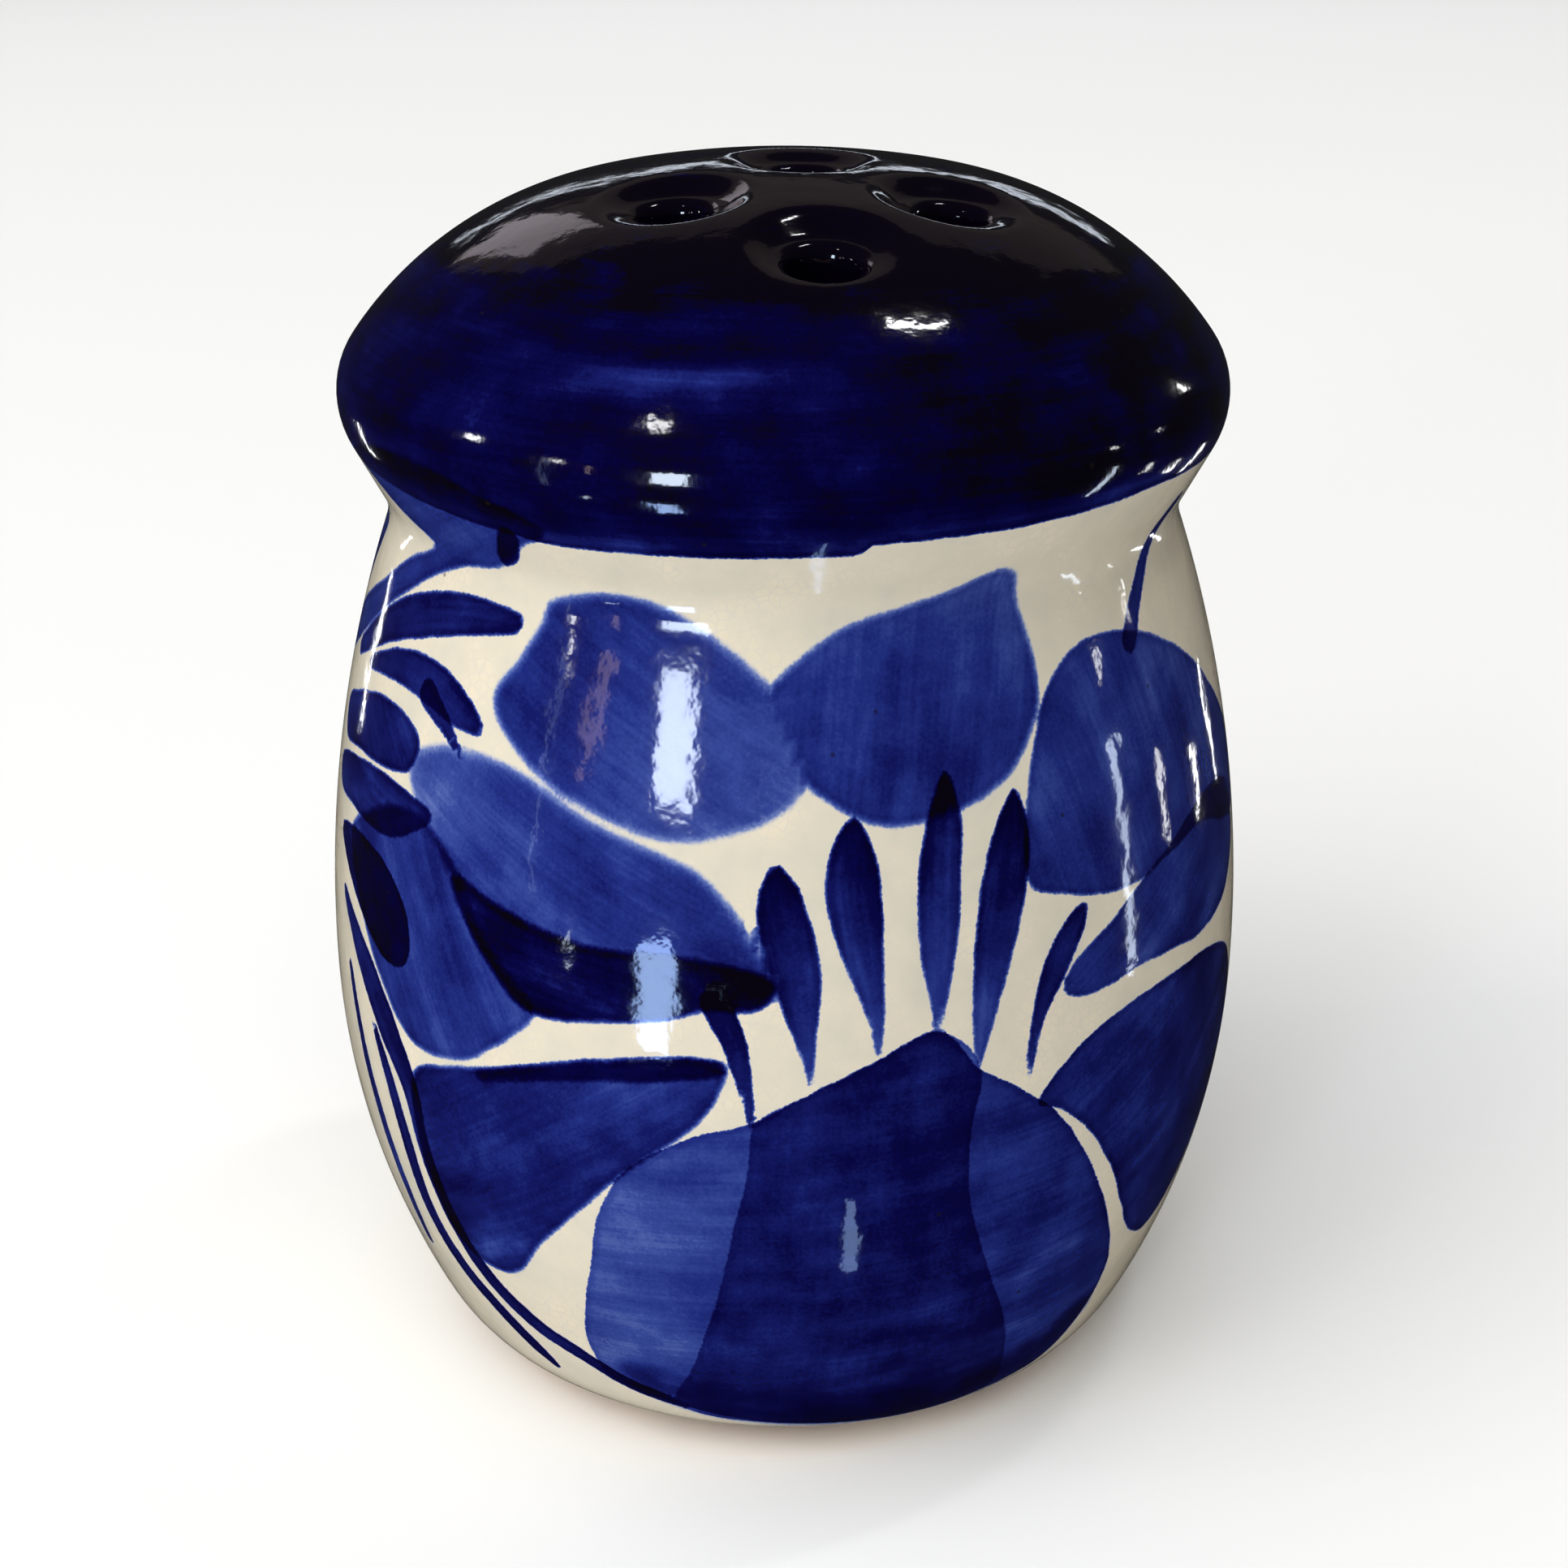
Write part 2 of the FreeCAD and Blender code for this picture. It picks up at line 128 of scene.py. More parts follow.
class PlugSizes(bpy.types.PropertyGroup):
    """Soft plug in the filling hole."""
    flange: length("Flange radius", "Face of the plug", 0.0165)
    sleeve: length("Sleeve radius", "Sleeve without its ribs", 0.01265)
    bore: length("Sleeve bore", "Hollow of the sleeve", 0.01105)
    face: length("Face thickness", "Flange and face plate", 0.0016)
    rib: length("Rib radius", "Section of a rib", 0.0005)
    rib_reach: length("Rib reach", "Top of a rib", 0.01295)
    rib_spacing: length("Rib spacing", "Between the two ribs", 0.0018)
    grip_length: length("Grip length", "Finger bar", 0.020)
    grip_width: length("Grip width", "Finger bar", 0.003)
    grip_height: length("Grip height", "Finger bar", 0.0014)
    edge: length("Edge", "Moulded rounding", 0.0004)
    colour: paint("Plug colour", "Soft natural PVC", "D9D6C9")


class StudioSizes(bpy.types.PropertyGroup):
    """Floor and camera."""
    camera_distance: length("Camera distance", "From the axis, towards the front", 0.208)
    camera_height: length("Camera height", "Above the table", 0.1403)
    aim_height: length("Aim height", "Where the camera looks, on the axis", 0.0509)
    lens: bpy.props.FloatProperty(name="Lens", description="Focal length", default=55.9,
                                  subtype="DISTANCE_CAMERA", unit="CAMERA")
    floor_colour: paint("Floor", "Pale floor", "FCFCFB")
    floor_reach: length("Floor radius", "Round floor", 9.0)
    floor_opening: length("Floor opening", "Hidden under the foot, to show the base", 0.0245)


def settings():
    """The scene's own properties of this add-on."""
    return bpy.context.scene.painted_shaker


def linear(digits):
    """sRGB hex digits as linear colour with alpha."""
    channels = [int(digits[place:place + 2], 16) / 255 for place in (0, 2, 4)]
    return [c / 12.92 if c <= 0.04045 else ((c + 0.055) / 1.055) ** 2.4 for c in channels] + [1.0]


# --- half-section ---------------------------------------------------------------------------


def vessel_arcs(size):
    """The clay's outside as arcs: centre, radius, +1 convex or -1 hollow, start and end angle."""
    foot_centre = np.array([size.belly - size.foot_inset, size.foot_edge])
    rise = size.belly_height - size.foot_edge
    lower = (size.foot_inset ** 2 + rise ** 2 - size.foot_edge ** 2)
    lower /= 2 * (size.foot_inset - size.foot_edge)
    lower_centre = np.array([size.belly - lower, size.belly_height])
    rim_height = size.height - size.dome_rise
    neck = size.belly - size.neck_inset
    waist_centre = np.array([neck + size.neck_hollow, rim_height - size.neck_rise])
    side, up = waist_centre - np.array([size.belly, size.belly_height])
    upper = (side ** 2 + up ** 2 - size.neck_hollow ** 2) / (2 * (size.neck_hollow - side))
    upper_centre = np.array([size.belly - upper, size.belly_height])
    rim_centre = np.array([neck + size.rim_overhang - size.rim_edge, rim_height])
    flank = size.flank_angle
    edge_centre = rim_centre - np.array([math.cos(flank), math.sin(flank)]) * (
        size.crown_edge - size.rim_edge)
    above = size.height - edge_centre[1]
    crown = (edge_centre[0] ** 2 + above ** 2 - size.crown_edge ** 2)
    crown /= 2 * (above - size.crown_edge)
    crown_centre = np.array([0.0, size.height - crown])

    def heading(start, end):
        return math.atan2(end[1] - start[1], end[0] - start[0])

    span = rim_centre - waist_centre
    lean = math.acos((size.neck_hollow + size.rim_edge) / np.hypot(*span))
    waist_end = math.atan2(span[1], span[0]) + lean
    foot_end = heading(lower_centre, foot_centre)
    upper_end = heading(upper_centre, waist_centre)
    crown_end = heading(crown_centre, edge_centre)
    return [
        (foot_centre, size.foot_edge, 1, -math.pi / 2, foot_end),
        (lower_centre, lower, 1, foot_end, 0.0),
        (upper_centre, upper, 1, 0.0, upper_end),
        (waist_centre, size.neck_hollow, -1, upper_end + math.pi, waist_end),
        (rim_centre, size.rim_edge, 1, waist_end - math.pi, flank),
        (edge_centre, size.crown_edge, 1, flank, crown_end),
        (crown_centre, crown, 1, crown_end, math.pi / 2),
    ]


def trace(arcs, offset, step):
    """Points along the half-section at an offset from the clay, from the foot to the top."""
    points = []
    for centre, radius, bend, start, end in arcs:
        reach = radius + bend * offset
        first = centre + reach * np.array([math.cos(start), math.sin(start)])
        if points:
            gap = first - points[-1]
            count = max(1, round(np.hypot(*gap) / step))
            if np.hypot(*gap) > step * 0.01:
                points += [points[-1] + gap * k / count for k in range(1, count + 1)]
        else:
            points.append(first)
        count = max(2, math.ceil(abs(end - start) * reach / step))
        for k in range(1, count + 1):
            angle = start + (end - start) * k / count
            points.append(centre + reach * np.array([math.cos(angle), math.sin(angle)]))
    return np.array(points)


def rounded(corners, radius, steps=5):
    """A polyline with every inner corner rounded off by an arc."""
    points = [np.array(corners[0], float)]
    for before, corner, after in zip(corners, corners[1:], corners[2:]):
        corner = np.array(corner, float)
        to_before, to_after = np.array(before) - corner, np.array(after) - corner
        room = min(radius, 0.45 * np.hypot(*to_before), 0.45 * np.hypot(*to_after))
        start = corner + to_before / np.hypot(*to_before) * room
        end = corner + to_after / np.hypot(*to_after) * room
        for k in range(steps + 1):
            t = k / steps
            points.append((1 - t) ** 2 * start + 2 * t * (1 - t) * corner + t ** 2 * end)
    points.append(np.array(corners[-1], float))
    return np.array(points)


# --- mesh -----------------------------------------------------------------------------------


class Skin:
    """Gathers points and faces, with the place of each face corner on the flat chart."""

    def __init__(self):
        self.points = []
        self.faces = []
        self.chart = []

    def ring(self, points):
        """Add points, and return their numbers."""
        first = len(self.points)
        self.points.extend(np.asarray(points, float).tolist())
        return np.arange(first, len(self.points))

    def band(self, lower, upper, chart_low, chart_high, flip=False):
        """Quads between two rings of equal length, closed round the axis."""
        count = len(lower)
        for k in range(count):
            n = (k + 1) % count
            face = [lower[k], lower[n], upper[n], upper[k]]
            u0 = chart_low[0] + (chart_high[0] - chart_low[0]) * k / count
            u1 = chart_low[0] + (chart_high[0] - chart_low[0]) * (k + 1) / count
            spot = [(u0, chart_low[1]), (u1, chart_low[1]),
                    (u1, chart_high[1]), (u0, chart_high[1])]
            if flip:
                face.reverse()
                spot.reverse()
            self.faces.append([int(i) for i in face])
            self.chart.extend(spot)

    def lathe(self, profile, columns, chart_low, chart_high, flip=False, first=None):
        """Rings of a half-section turned round the axis. Returns the first and last ring."""
        run = np.concatenate([[0.0], np.cumsum(np.hypot(*np.diff(profile, axis=0).T))])
        run = chart_low[1] + (chart_high[1] - chart_low[1]) * run / run[-1]
        turn = -math.pi / 2 + 2 * math.pi * (np.arange(columns) / columns - 0.5)
        start = first
        last = first
        for row, (radius, z) in enumerate(profile):
            if row == 0 and first is not None:
                continue
            ring = self.ring(np.stack([radius * np.cos(turn), radius * np.sin(turn),
                                       np.full(columns, z)], 1))
            if last is not None:
                self.band(last, ring, (chart_low[0], run[row - 1]), (chart_high[0], run[row]), flip)
            else:
                start = ring
            last = ring
        return start, last

    def cap(self, ring, holes, hole_radius, hole_columns, surface, step, chart_centre,
            chart_scale, flip=False):
        """Close a ring with a surface over it that leaves a round ring of points at each hole."""
        outer = np.array([self.points[i] for i in ring])
        reach = np.hypot(outer[0, 0], outer[0, 1])
        flat = [tuple(p[:2]) for p in outer]
        fixed = list(ring)
        edges = [(k, (k + 1) % len(ring)) for k in range(len(ring))]
        hole_rings = []
        owner = [None] * len(ring)
        angle = 2 * math.pi * np.arange(hole_columns) / hole_columns
        for x, y in holes:
            circle = np.stack([x + hole_radius * np.cos(angle), y + hole_radius * np.sin(angle)], 1)
            numbers = self.ring(np.column_stack([circle, surface(circle[:, 0], circle[:, 1])]))
            base = len(flat)
            owner += [len(hole_rings)] * hole_columns
            flat += [tuple(p) for p in circle]
            fixed += list(numbers)
            edges += [(base + k, base + (k + 1) % hole_columns) for k in range(hole_columns)]
            hole_rings.append(numbers)
        inner = []
        for row in range(1, int(reach / step)):
            radius = reach - row * step
            if radius < step * 0.4:
                break
            count = max(6, round(2 * math.pi * radius / step))
            around = 2 * math.pi * (np.arange(count) + 0.5 * (row % 2)) / count
            inner.append(np.stack([radius * np.cos(around), radius * np.sin(around)], 1))
        inner = np.concatenate(inner + [np.zeros((1, 2))])
        for x, y in holes:
            near = np.hypot(inner[:, 0] - x, inner[:, 1] - y)
            inner = inner[near > hole_radius + step * 0.6]
        numbers = self.ring(np.column_stack([inner, surface(inner[:, 0], inner[:, 1])]))
        flat += [tuple(p) for p in inner]
        fixed += list(numbers)
        owner += [None] * len(inner)
        result = delaunay_2d_cdt([Vector(p) for p in flat], edges, [], 0, 1e-9)
        spots, triangles, origins = result[0], result[2], result[3]
        for triangle in triangles:
            owners = {owner[origins[i][0]] for i in triangle}
            if len(owners) == 1 and None not in owners:
                continue
            face = [int(fixed[origins[i][0]]) for i in triangle]
            spot = [(chart_centre[0] + spots[i].x * chart_scale,
                     chart_centre[1] + spots[i].y * chart_scale) for i in triangle]
            if flip:
                face.reverse()
                spot.reverse()
            self.faces.append(face)
            self.chart.extend(spot)
        return hole_rings

    def tube(self, first, last, rings, chart_low, chart_high, flip=False):
        """Bands from one ring through a list of point rings to another ring."""
        numbers = [first] + [self.ring(points) for points in rings] + [last]
        for row, (low, high) in enumerate(zip(numbers, numbers[1:])):
            v0 = chart_low[1] + (chart_high[1] - chart_low[1]) * row / (len(numbers) - 1)
            v1 = chart_low[1] + (chart_high[1] - chart_low[1]) * (row + 1) / (len(numbers) - 1)
            self.band(low, high, (chart_low[0], v0), (chart_high[0], v1), flip)

    def lid(self, ring, spot, turned):
        """One flat face over a ring, kept at one place of the chart."""
        face = [int(i) for i in ring]
        if turned:
            face.reverse()
        self.faces.append(face)
        self.chart.extend([spot] * len(face))

    def piece(self, name, body, slot, material):
        """Make the object, smooth, with its chart, and hand it to its body."""
        mesh = bpy.data.meshes.new(name)
        mesh.from_pydata(self.points, [], self.faces)
        chart = mesh.uv_layers.new(name="OFBake")
        chart.data.foreach_set("uv", np.array(self.chart, np.float32).ravel())
        mesh.polygons.foreach_set("use_smooth", [True] * len(mesh.polygons))
        mesh.materials.append(material)
        piece = bpy.data.objects.new(name, mesh)
        bpy.context.scene.collection.objects.link(piece)
        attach(piece, body)
        return piece


def pour_holes():
    """Centres of the pour holes, from the frame's stated openings."""
    centres = []
    for opening in OPENINGS:
        if opening["name"].startswith("pour_hole"):
            low, high = opening["box_m"]
            centres.append(((low[0] + high[0]) / 2, (low[1] + high[1]) / 2))
    return centres


def dome_height(size, offset):
    """A function of x and y: height of the dome at an offset from the clay's outside."""
    arcs = vessel_arcs(size)
    edge_centre, edge = arcs[5][0], arcs[5][1] + offset
    crown_centre, crown, crown_start = arcs[6][0], arcs[6][1] + offset, arcs[6][3]

    def plain(x, y):
        reach = np.hypot(x, y)
        flat = crown_centre[1] + np.sqrt(np.maximum(crown ** 2 - reach ** 2, 0))
        drop = np.maximum(edge ** 2 - (reach - edge_centre[0]) ** 2, 0)
        return np.where(reach < crown * math.cos(crown_start), flat,
                        edge_centre[1] + np.sqrt(drop))

    def height(x, y):
        z = plain(x, y)
        for hole_x, hole_y in pour_holes():
            away = (np.hypot(x - hole_x, y - hole_y) - size.pour_hole) / (
                size.dimple_width - size.pour_hole)
            pressed = 0.5 + 0.5 * np.cos(math.pi * np.clip(away, 0, 1))
            level = plain(np.array([hole_x]), np.array([hole_y]))[0]
            z = z + pressed * (size.dimple_level * (level - z) - size.dimple_depth)
        return z

    return height


def hand_finish(skin, size):
    """Dimples on the flanks and slow, slight unevenness of the wall, never outwards."""
    points = np.array(skin.points)
    turn = np.arctan2(points[:, 1], points[:, 0])
    reach = np.hypot(points[:, 0], points[:, 1])
    z = points[:, 2] / size.height
    wave = 0.40 * np.sin(2 * turn + 0.9) * np.sin(5.0 * z + 0.4)
    wave += 0.35 * np.sin(3 * turn - 1.7 + 4.0 * z) + 0.25 * np.sin(5 * turn + 9.0 * z)
    inwards = size.wobble * (0.5 + 0.5 * wave) * np.clip(reach / size.pour_hole / 6, 0, 1)
    inwards *= np.clip((points[:, 2] - 0.003) / 0.01, 0, 1)
    scale = 1 - inwards / np.maximum(reach, 1e-6)
    points[:, 0] *= scale
    points[:, 1] *= scale
    skin.points = points.tolist()


# --- brushwork ------------------------------------------------------------------------------
# Each outline or path is in degrees round the vessel from its front, to the right, and in
# millimetres above the table. Loads count coats of cobalt wash, at the start and end, except
# for one soft band along the bottom, which is painted shade.

PETALS = [
    # layer, load from, load to, brush angle, softness of the edge, outline
    ("wash", 1.15, 0.62, -30, 0.80, [
        (-30, 79), (-19, 80), (-9, 77.5), (-2, 74), (2, 69.5), (1, 66), (-6, 63.5),
        (-14, 62.7), (-24, 64.5), (-32, 67), (-37.5, 70.5), (-34.5, 74), (-32, 77)]),
    ("wash", 1.25, 0.75, 80, 0.55, [
        (-2, 73.5), (6.5, 78), (19, 80.2), (26, 81.7), (28.5, 82.0), (30.5, 81.2),
        (31.2, 78.6), (32.4, 74.5),
        (31.7, 70.5), (27, 66.5), (20, 64.4), (11.5, 63.9), (4, 66.5), (0, 70)]),
    ("beside", 0.90, 1.10, -75, 0.25, [
        (28.7, 62), (31, 68), (34, 72), (39, 74.4), (45, 74.8), (52, 73.9), (61.5, 71),
        (71, 66), (80, 59), (77, 53), (69, 54), (61, 56), (52, 55.4), (45, 54.6), (39, 54.9),
        (33, 56.1), (28.8, 57.5)]),
    ("wash", 0.65, 1.30, 5, 0.10, [
        (17, 46.8), (10, 44.8), (3, 42.3), (-4, 39.4), (-10, 38.0), (-17.5, 34.3), (-21.5, 29),
        (-23.4, 23), (-25.3, 18), (-26.5, 13), (-25, 8.8), (-19, 7.2), (0, 4.6), (23, 4.0),
        (40, 5.0), (46, 8), (48, 14), (45.5, 20), (39.6, 28.5), (33.2, 36), (27.4, 40),
        (21.8, 42.9)]),
    ("beside", 1.50, 1.05, 35, 0.40, [
        (-48.2, 36.4), (-42, 38.6), (-36.5, 39.9), (-24, 43), (-14, 44.6), (-7.2, 44.9),
        (-6.8, 43), (-10.2, 38.9), (-18.7, 33.4), (-25.4, 28), (-31, 23.3), (-34.5, 19.8),
        (-39, 18.4), (-45, 19.5), (-48.4, 25.5), (-49.5, 31)]),
    ("wash", 1.15, 1.00, -60, 0.45, [
        (-66, 53.5), (-60, 57), (-54, 59), (-47.5, 59.3), (-40.5, 56.2), (-36, 51.6), (-29, 47),
        (-32, 44), (-35, 42.3), (-38, 40.6), (-44.6, 39.2), (-50, 39.8), (-55, 43), (-60, 47)]),
    ("second", 0.72, 1.25, -25, 1.00, [
        (-50.5, 63.8), (-43, 65.9), (-32.5, 65.4), (-23, 62.9), (-12, 60.5), (-7.5, 58.2),
        (-3, 53.8), (-1.3, 51.2), (-4.5, 50.2), (-9, 52.0), (-14.5, 52.9), (-23.5, 52.9),
        (-33, 54.2), (-41.5, 56.2), (-45.6, 58.6), (-49.8, 61.2)]),
    ("beside", 1.30, 1.60, 25, 0.15, [
        (29.6, 38.6), (35, 42.3), (43, 44.2), (53, 44.6), (63, 43.8), (71, 41), (75, 36),
        (73.5, 30), (69.5, 24), (63, 18.8), (56, 16.8), (50, 19.3), (46, 23.5), (42.4, 28.4),
        (37, 34.3), (32, 37.5)]),
    ("wash", 1.00, 1.10, 30, 0.20, [
        (33, 47.9), (35, 50.2), (40.5, 52.2), (45, 54), (52, 56), (62, 58), (72, 57),
        (76, 52), (70, 47.5), (60, 46.3), (51, 47), (44.5, 47.2), (36.5, 46.7)]),
    ("second", 0.62, 0.62, 88, 0.10, [
        (-3, 39.6), (3, 42.2), (10, 44.7), (17, 46.7), (22, 43), (21, 37), (21.4, 30.5),
        (24.8, 22.8), (31, 12), (30, 4.2), (0, 4.6), (-15, 6.4), (-11.6, 13), (-8.2, 20.7),
        (-5.9, 28.2), (-4, 34.8)]),
    ("accent", 2.7, 2.1, -8, 0.45, [
        (-41.4, 55.9), (-33.5, 54.6), (-23.8, 53.3), (-14.8, 53.3), (-9.3, 53.2), (-2.4, 52.2),
        (-1.2, 50.8), (-3.5, 49.4), (-8.5, 49.3), (-14.6, 48), (-22, 47.1), (-27.0, 46.6),
        (-31, 47.1), (-35, 49.6), (-38.4, 52.2)]),
    ("beside", 0.85, 1.10, 25, 0.35, [
        (-30, 86), (-34, 83.5), (-38, 81.5), (-41, 80.6), (-47, 79.9), (-54, 78.2), (-60, 76),
        (-66, 73.6), (-76, 69), (-84, 66), (-86, 68), (-80, 71.4), (-70, 75), (-62, 78.2),
        (-54, 80.5), (-58, 82), (-64, 84), (-68, 87), (-50, 89)]),
    ("beside", 1.35, 1.60, -40, 0.25, [
        (-76, 63.5), (-70, 65.3), (-62, 66.8), (-55, 66.8), (-50.3, 65.3), (-51.9, 62.5),
        (-58, 61.6), (-66, 61.2), (-74, 60.5)]),
    ("accent", 1.35, 1.50, -5, 0.20, [
        (-75, 58.6), (-64, 60.6), (-55, 61), (-46, 60), (-50, 57.6), (-56, 56), (-66, 56),
        (-74, 56)]),
    ("accent", 1.60, 1.80, -50, 0.15, [
        (-71, 53), (-64, 54.4), (-56, 53.9), (-50.5, 51.5), (-48.8, 48), (-50.3, 45.6),
        (-55, 45.3), (-61, 47.6), (-67, 50.3)]),
]

STROKES = [
    # layer, load from, load to, softness of the edge, path of (degrees, height, half width)
    ("second", 1.2, 1.8, 0.15, [(-3.5, 39.6, 0.25), (-5.2, 46, 0.9), (-7.6, 50, 1.2)]),
    ("second", 0.75, 2.7, 0.22, [(3.1, 42.9, 0.2), (2.4, 46.5, 0.7), (1.6, 51, 1.7),
                                (0.4, 55, 2.1), (-0.5, 58.3, 1.6), (-0.9, 60.9, 0.3)]),
    ("accent", 0.75, 2.8, 0.22, [(10.4, 45.3, 0.2), (9.9, 49, 0.7), (8.6, 54, 1.6),
                                (7.7, 58.5, 2.1), (7.7, 61.8, 1.6), (7.8, 64.3, 0.3)]),
    ("second", 0.75, 2.7, 0.22, [(17, 46.7, 0.2), (17.1, 50, 0.8), (17.2, 54, 1.5),
                                (17.6, 59, 1.7), (18.4, 63.5, 1.4), (19, 67.2, 0.3)]),
    ("accent", 0.75, 2.7, 0.22, [(21.8, 43.3, 0.2), (22.4, 47, 0.9), (23.6, 52, 1.6),
                                (25.2, 57, 2.0), (26.7, 61.5, 1.6), (27.6, 64.9, 0.3)]),
    ("second", 0.9, 1.9, 0.18, [(27.9, 40.5, 0.2), (29.3, 46, 0.6), (31.8, 50, 1.2),
                                (34.5, 52.9, 1.1), (36.2, 54.4, 0.3)]),
    ("accent", 1.0, 1.4, 0.35, [(-36.5, 39.3, 0.4), (-24, 42.3, 0.8), (-12, 43.9, 0.95),
                                (-7.4, 44.2, 0.6)]),
    # Painted shade, not a brush mark: a soft band that darkens the bottom edge. The back repeats it.
    ("beside", 0.75, 0.75, 1.60, [(-20, 10.4, 1.2), (-14, 8.6, 2.0), (0, 6.9, 2.4),
                                  (22, 6.4, 2.6), (38, 7.8, 2.0), (45, 11, 1.2)]),
    ("accent", 1.2, 1.0, 0.20, [(64, 83, 0.8), (58, 79, 0.6), (53, 76, 0.7), (50, 73.5, 1.0)]),
    ("wash", 1.3, 1.6, 0.25, [(-74, 68.5, 0.8), (-62, 73, 1.6), (-52, 75.3, 1.8),
                              (-44, 76.3, 1.5), (-37, 76.7, 0.9)]),
    ("second", 1.2, 1.7, 0.25, [(-67, 68.6, 0.6), (-57, 70.2, 1.4), (-49, 70.1, 1.8),
                                (-43, 68.9, 1.3), (-40, 68.1, 0.6)]),
    ("beside", 1.3, 1.3, 0.20, [(-50, 69.2, 1.2), (-46, 67.6, 0.7), (-42, 65.6, 0.3)]),
    ("accent", 1.6, 1.4, 0.20, [(-35.4, 84.2, 1.0), (-36.8, 82.6, 1.0), (-38.2, 81.6, 0.6)]),
    ("second", 1.4, 1.6, 0.15, [(-68, 47.5, 0.6), (-60, 43, 1.8), (-54, 38.5, 1.9),
                                (-49.8, 34, 1.3), (-48.8, 29, 1.0), (-47, 24, 1.0),
                                (-44, 19, 1.0), (-40.5, 15.6, 1.1), (-35, 12.6, 1.1),
                                (-28, 10.4, 1.0), (-22, 8.2, 0.9), (-14, 6.6, 0.7)]),
    ("accent", 1.4, 1.6, 0.15, [(-58, 37.5, 0.5), (-55, 33.5, 0.9), (-53, 28, 1.0),
                                (-51.5, 21, 1.0), (-48, 16, 1.1), (-43, 12.4, 1.1),
                                (-38, 9, 1.0), (-35, 7, 0.5)]),
    ("wash", 1.3, 1.4, 0.15, [(-66, 41, 0.5), (-61.5, 31, 0.8), (-58.5, 22.5, 0.9),
                              (-57, 15, 0.6)]),
    ("wash", 1.1, 1.3, 0.25, [(-75, 86, 0.9), (-79, 80, 1.5), (-84, 73, 1.1)]),
]

DOME_EDGE = [(-180, 85.4), (-150, 84.8), (-110, 85.6), (-70, 86), (-45, 85), (-29, 84.3),
             (-6, 84.7), (8.9, 84.9), (9.7, 85.8), (28, 86), (50, 86.6), (90, 86.2),
             (140, 85.2), (180, 85.4)]

# The back repeats the first petals and strokes, mirrored and turned by these degrees.
BACK_PETALS = 11
BACK_STROKES = 9
BACK_TURN = 182

LAYERS = ("dome", "wash", "beside", "second", "accent")
OUTSIDE = -5.0


def run_along(points, closed):
    """A smooth line through points, by Catmull-Rom spans of eight steps."""
    points = np.array(points, float)
    count = len(points)
    line = []
    for k in range(count if closed else count - 1):
        if closed:
            a, b, c, d = (points[(k + j) % count] for j in (-1, 0, 1, 2))
        else:
            a, b = points[max(k - 1, 0)], points[k]
            c, d = points[k + 1], points[min(k + 2, count - 1)]
        for t in np.arange(8) / 8:
            line.append(0.5 * (2 * b + (c - a) * t + (2 * a - 5 * b + 4 * c - d) * t ** 2
                               + (3 * b - a - 3 * c + d) * t ** 3))
    if not closed:
        line.append(points[-1])
    return np.array(line)


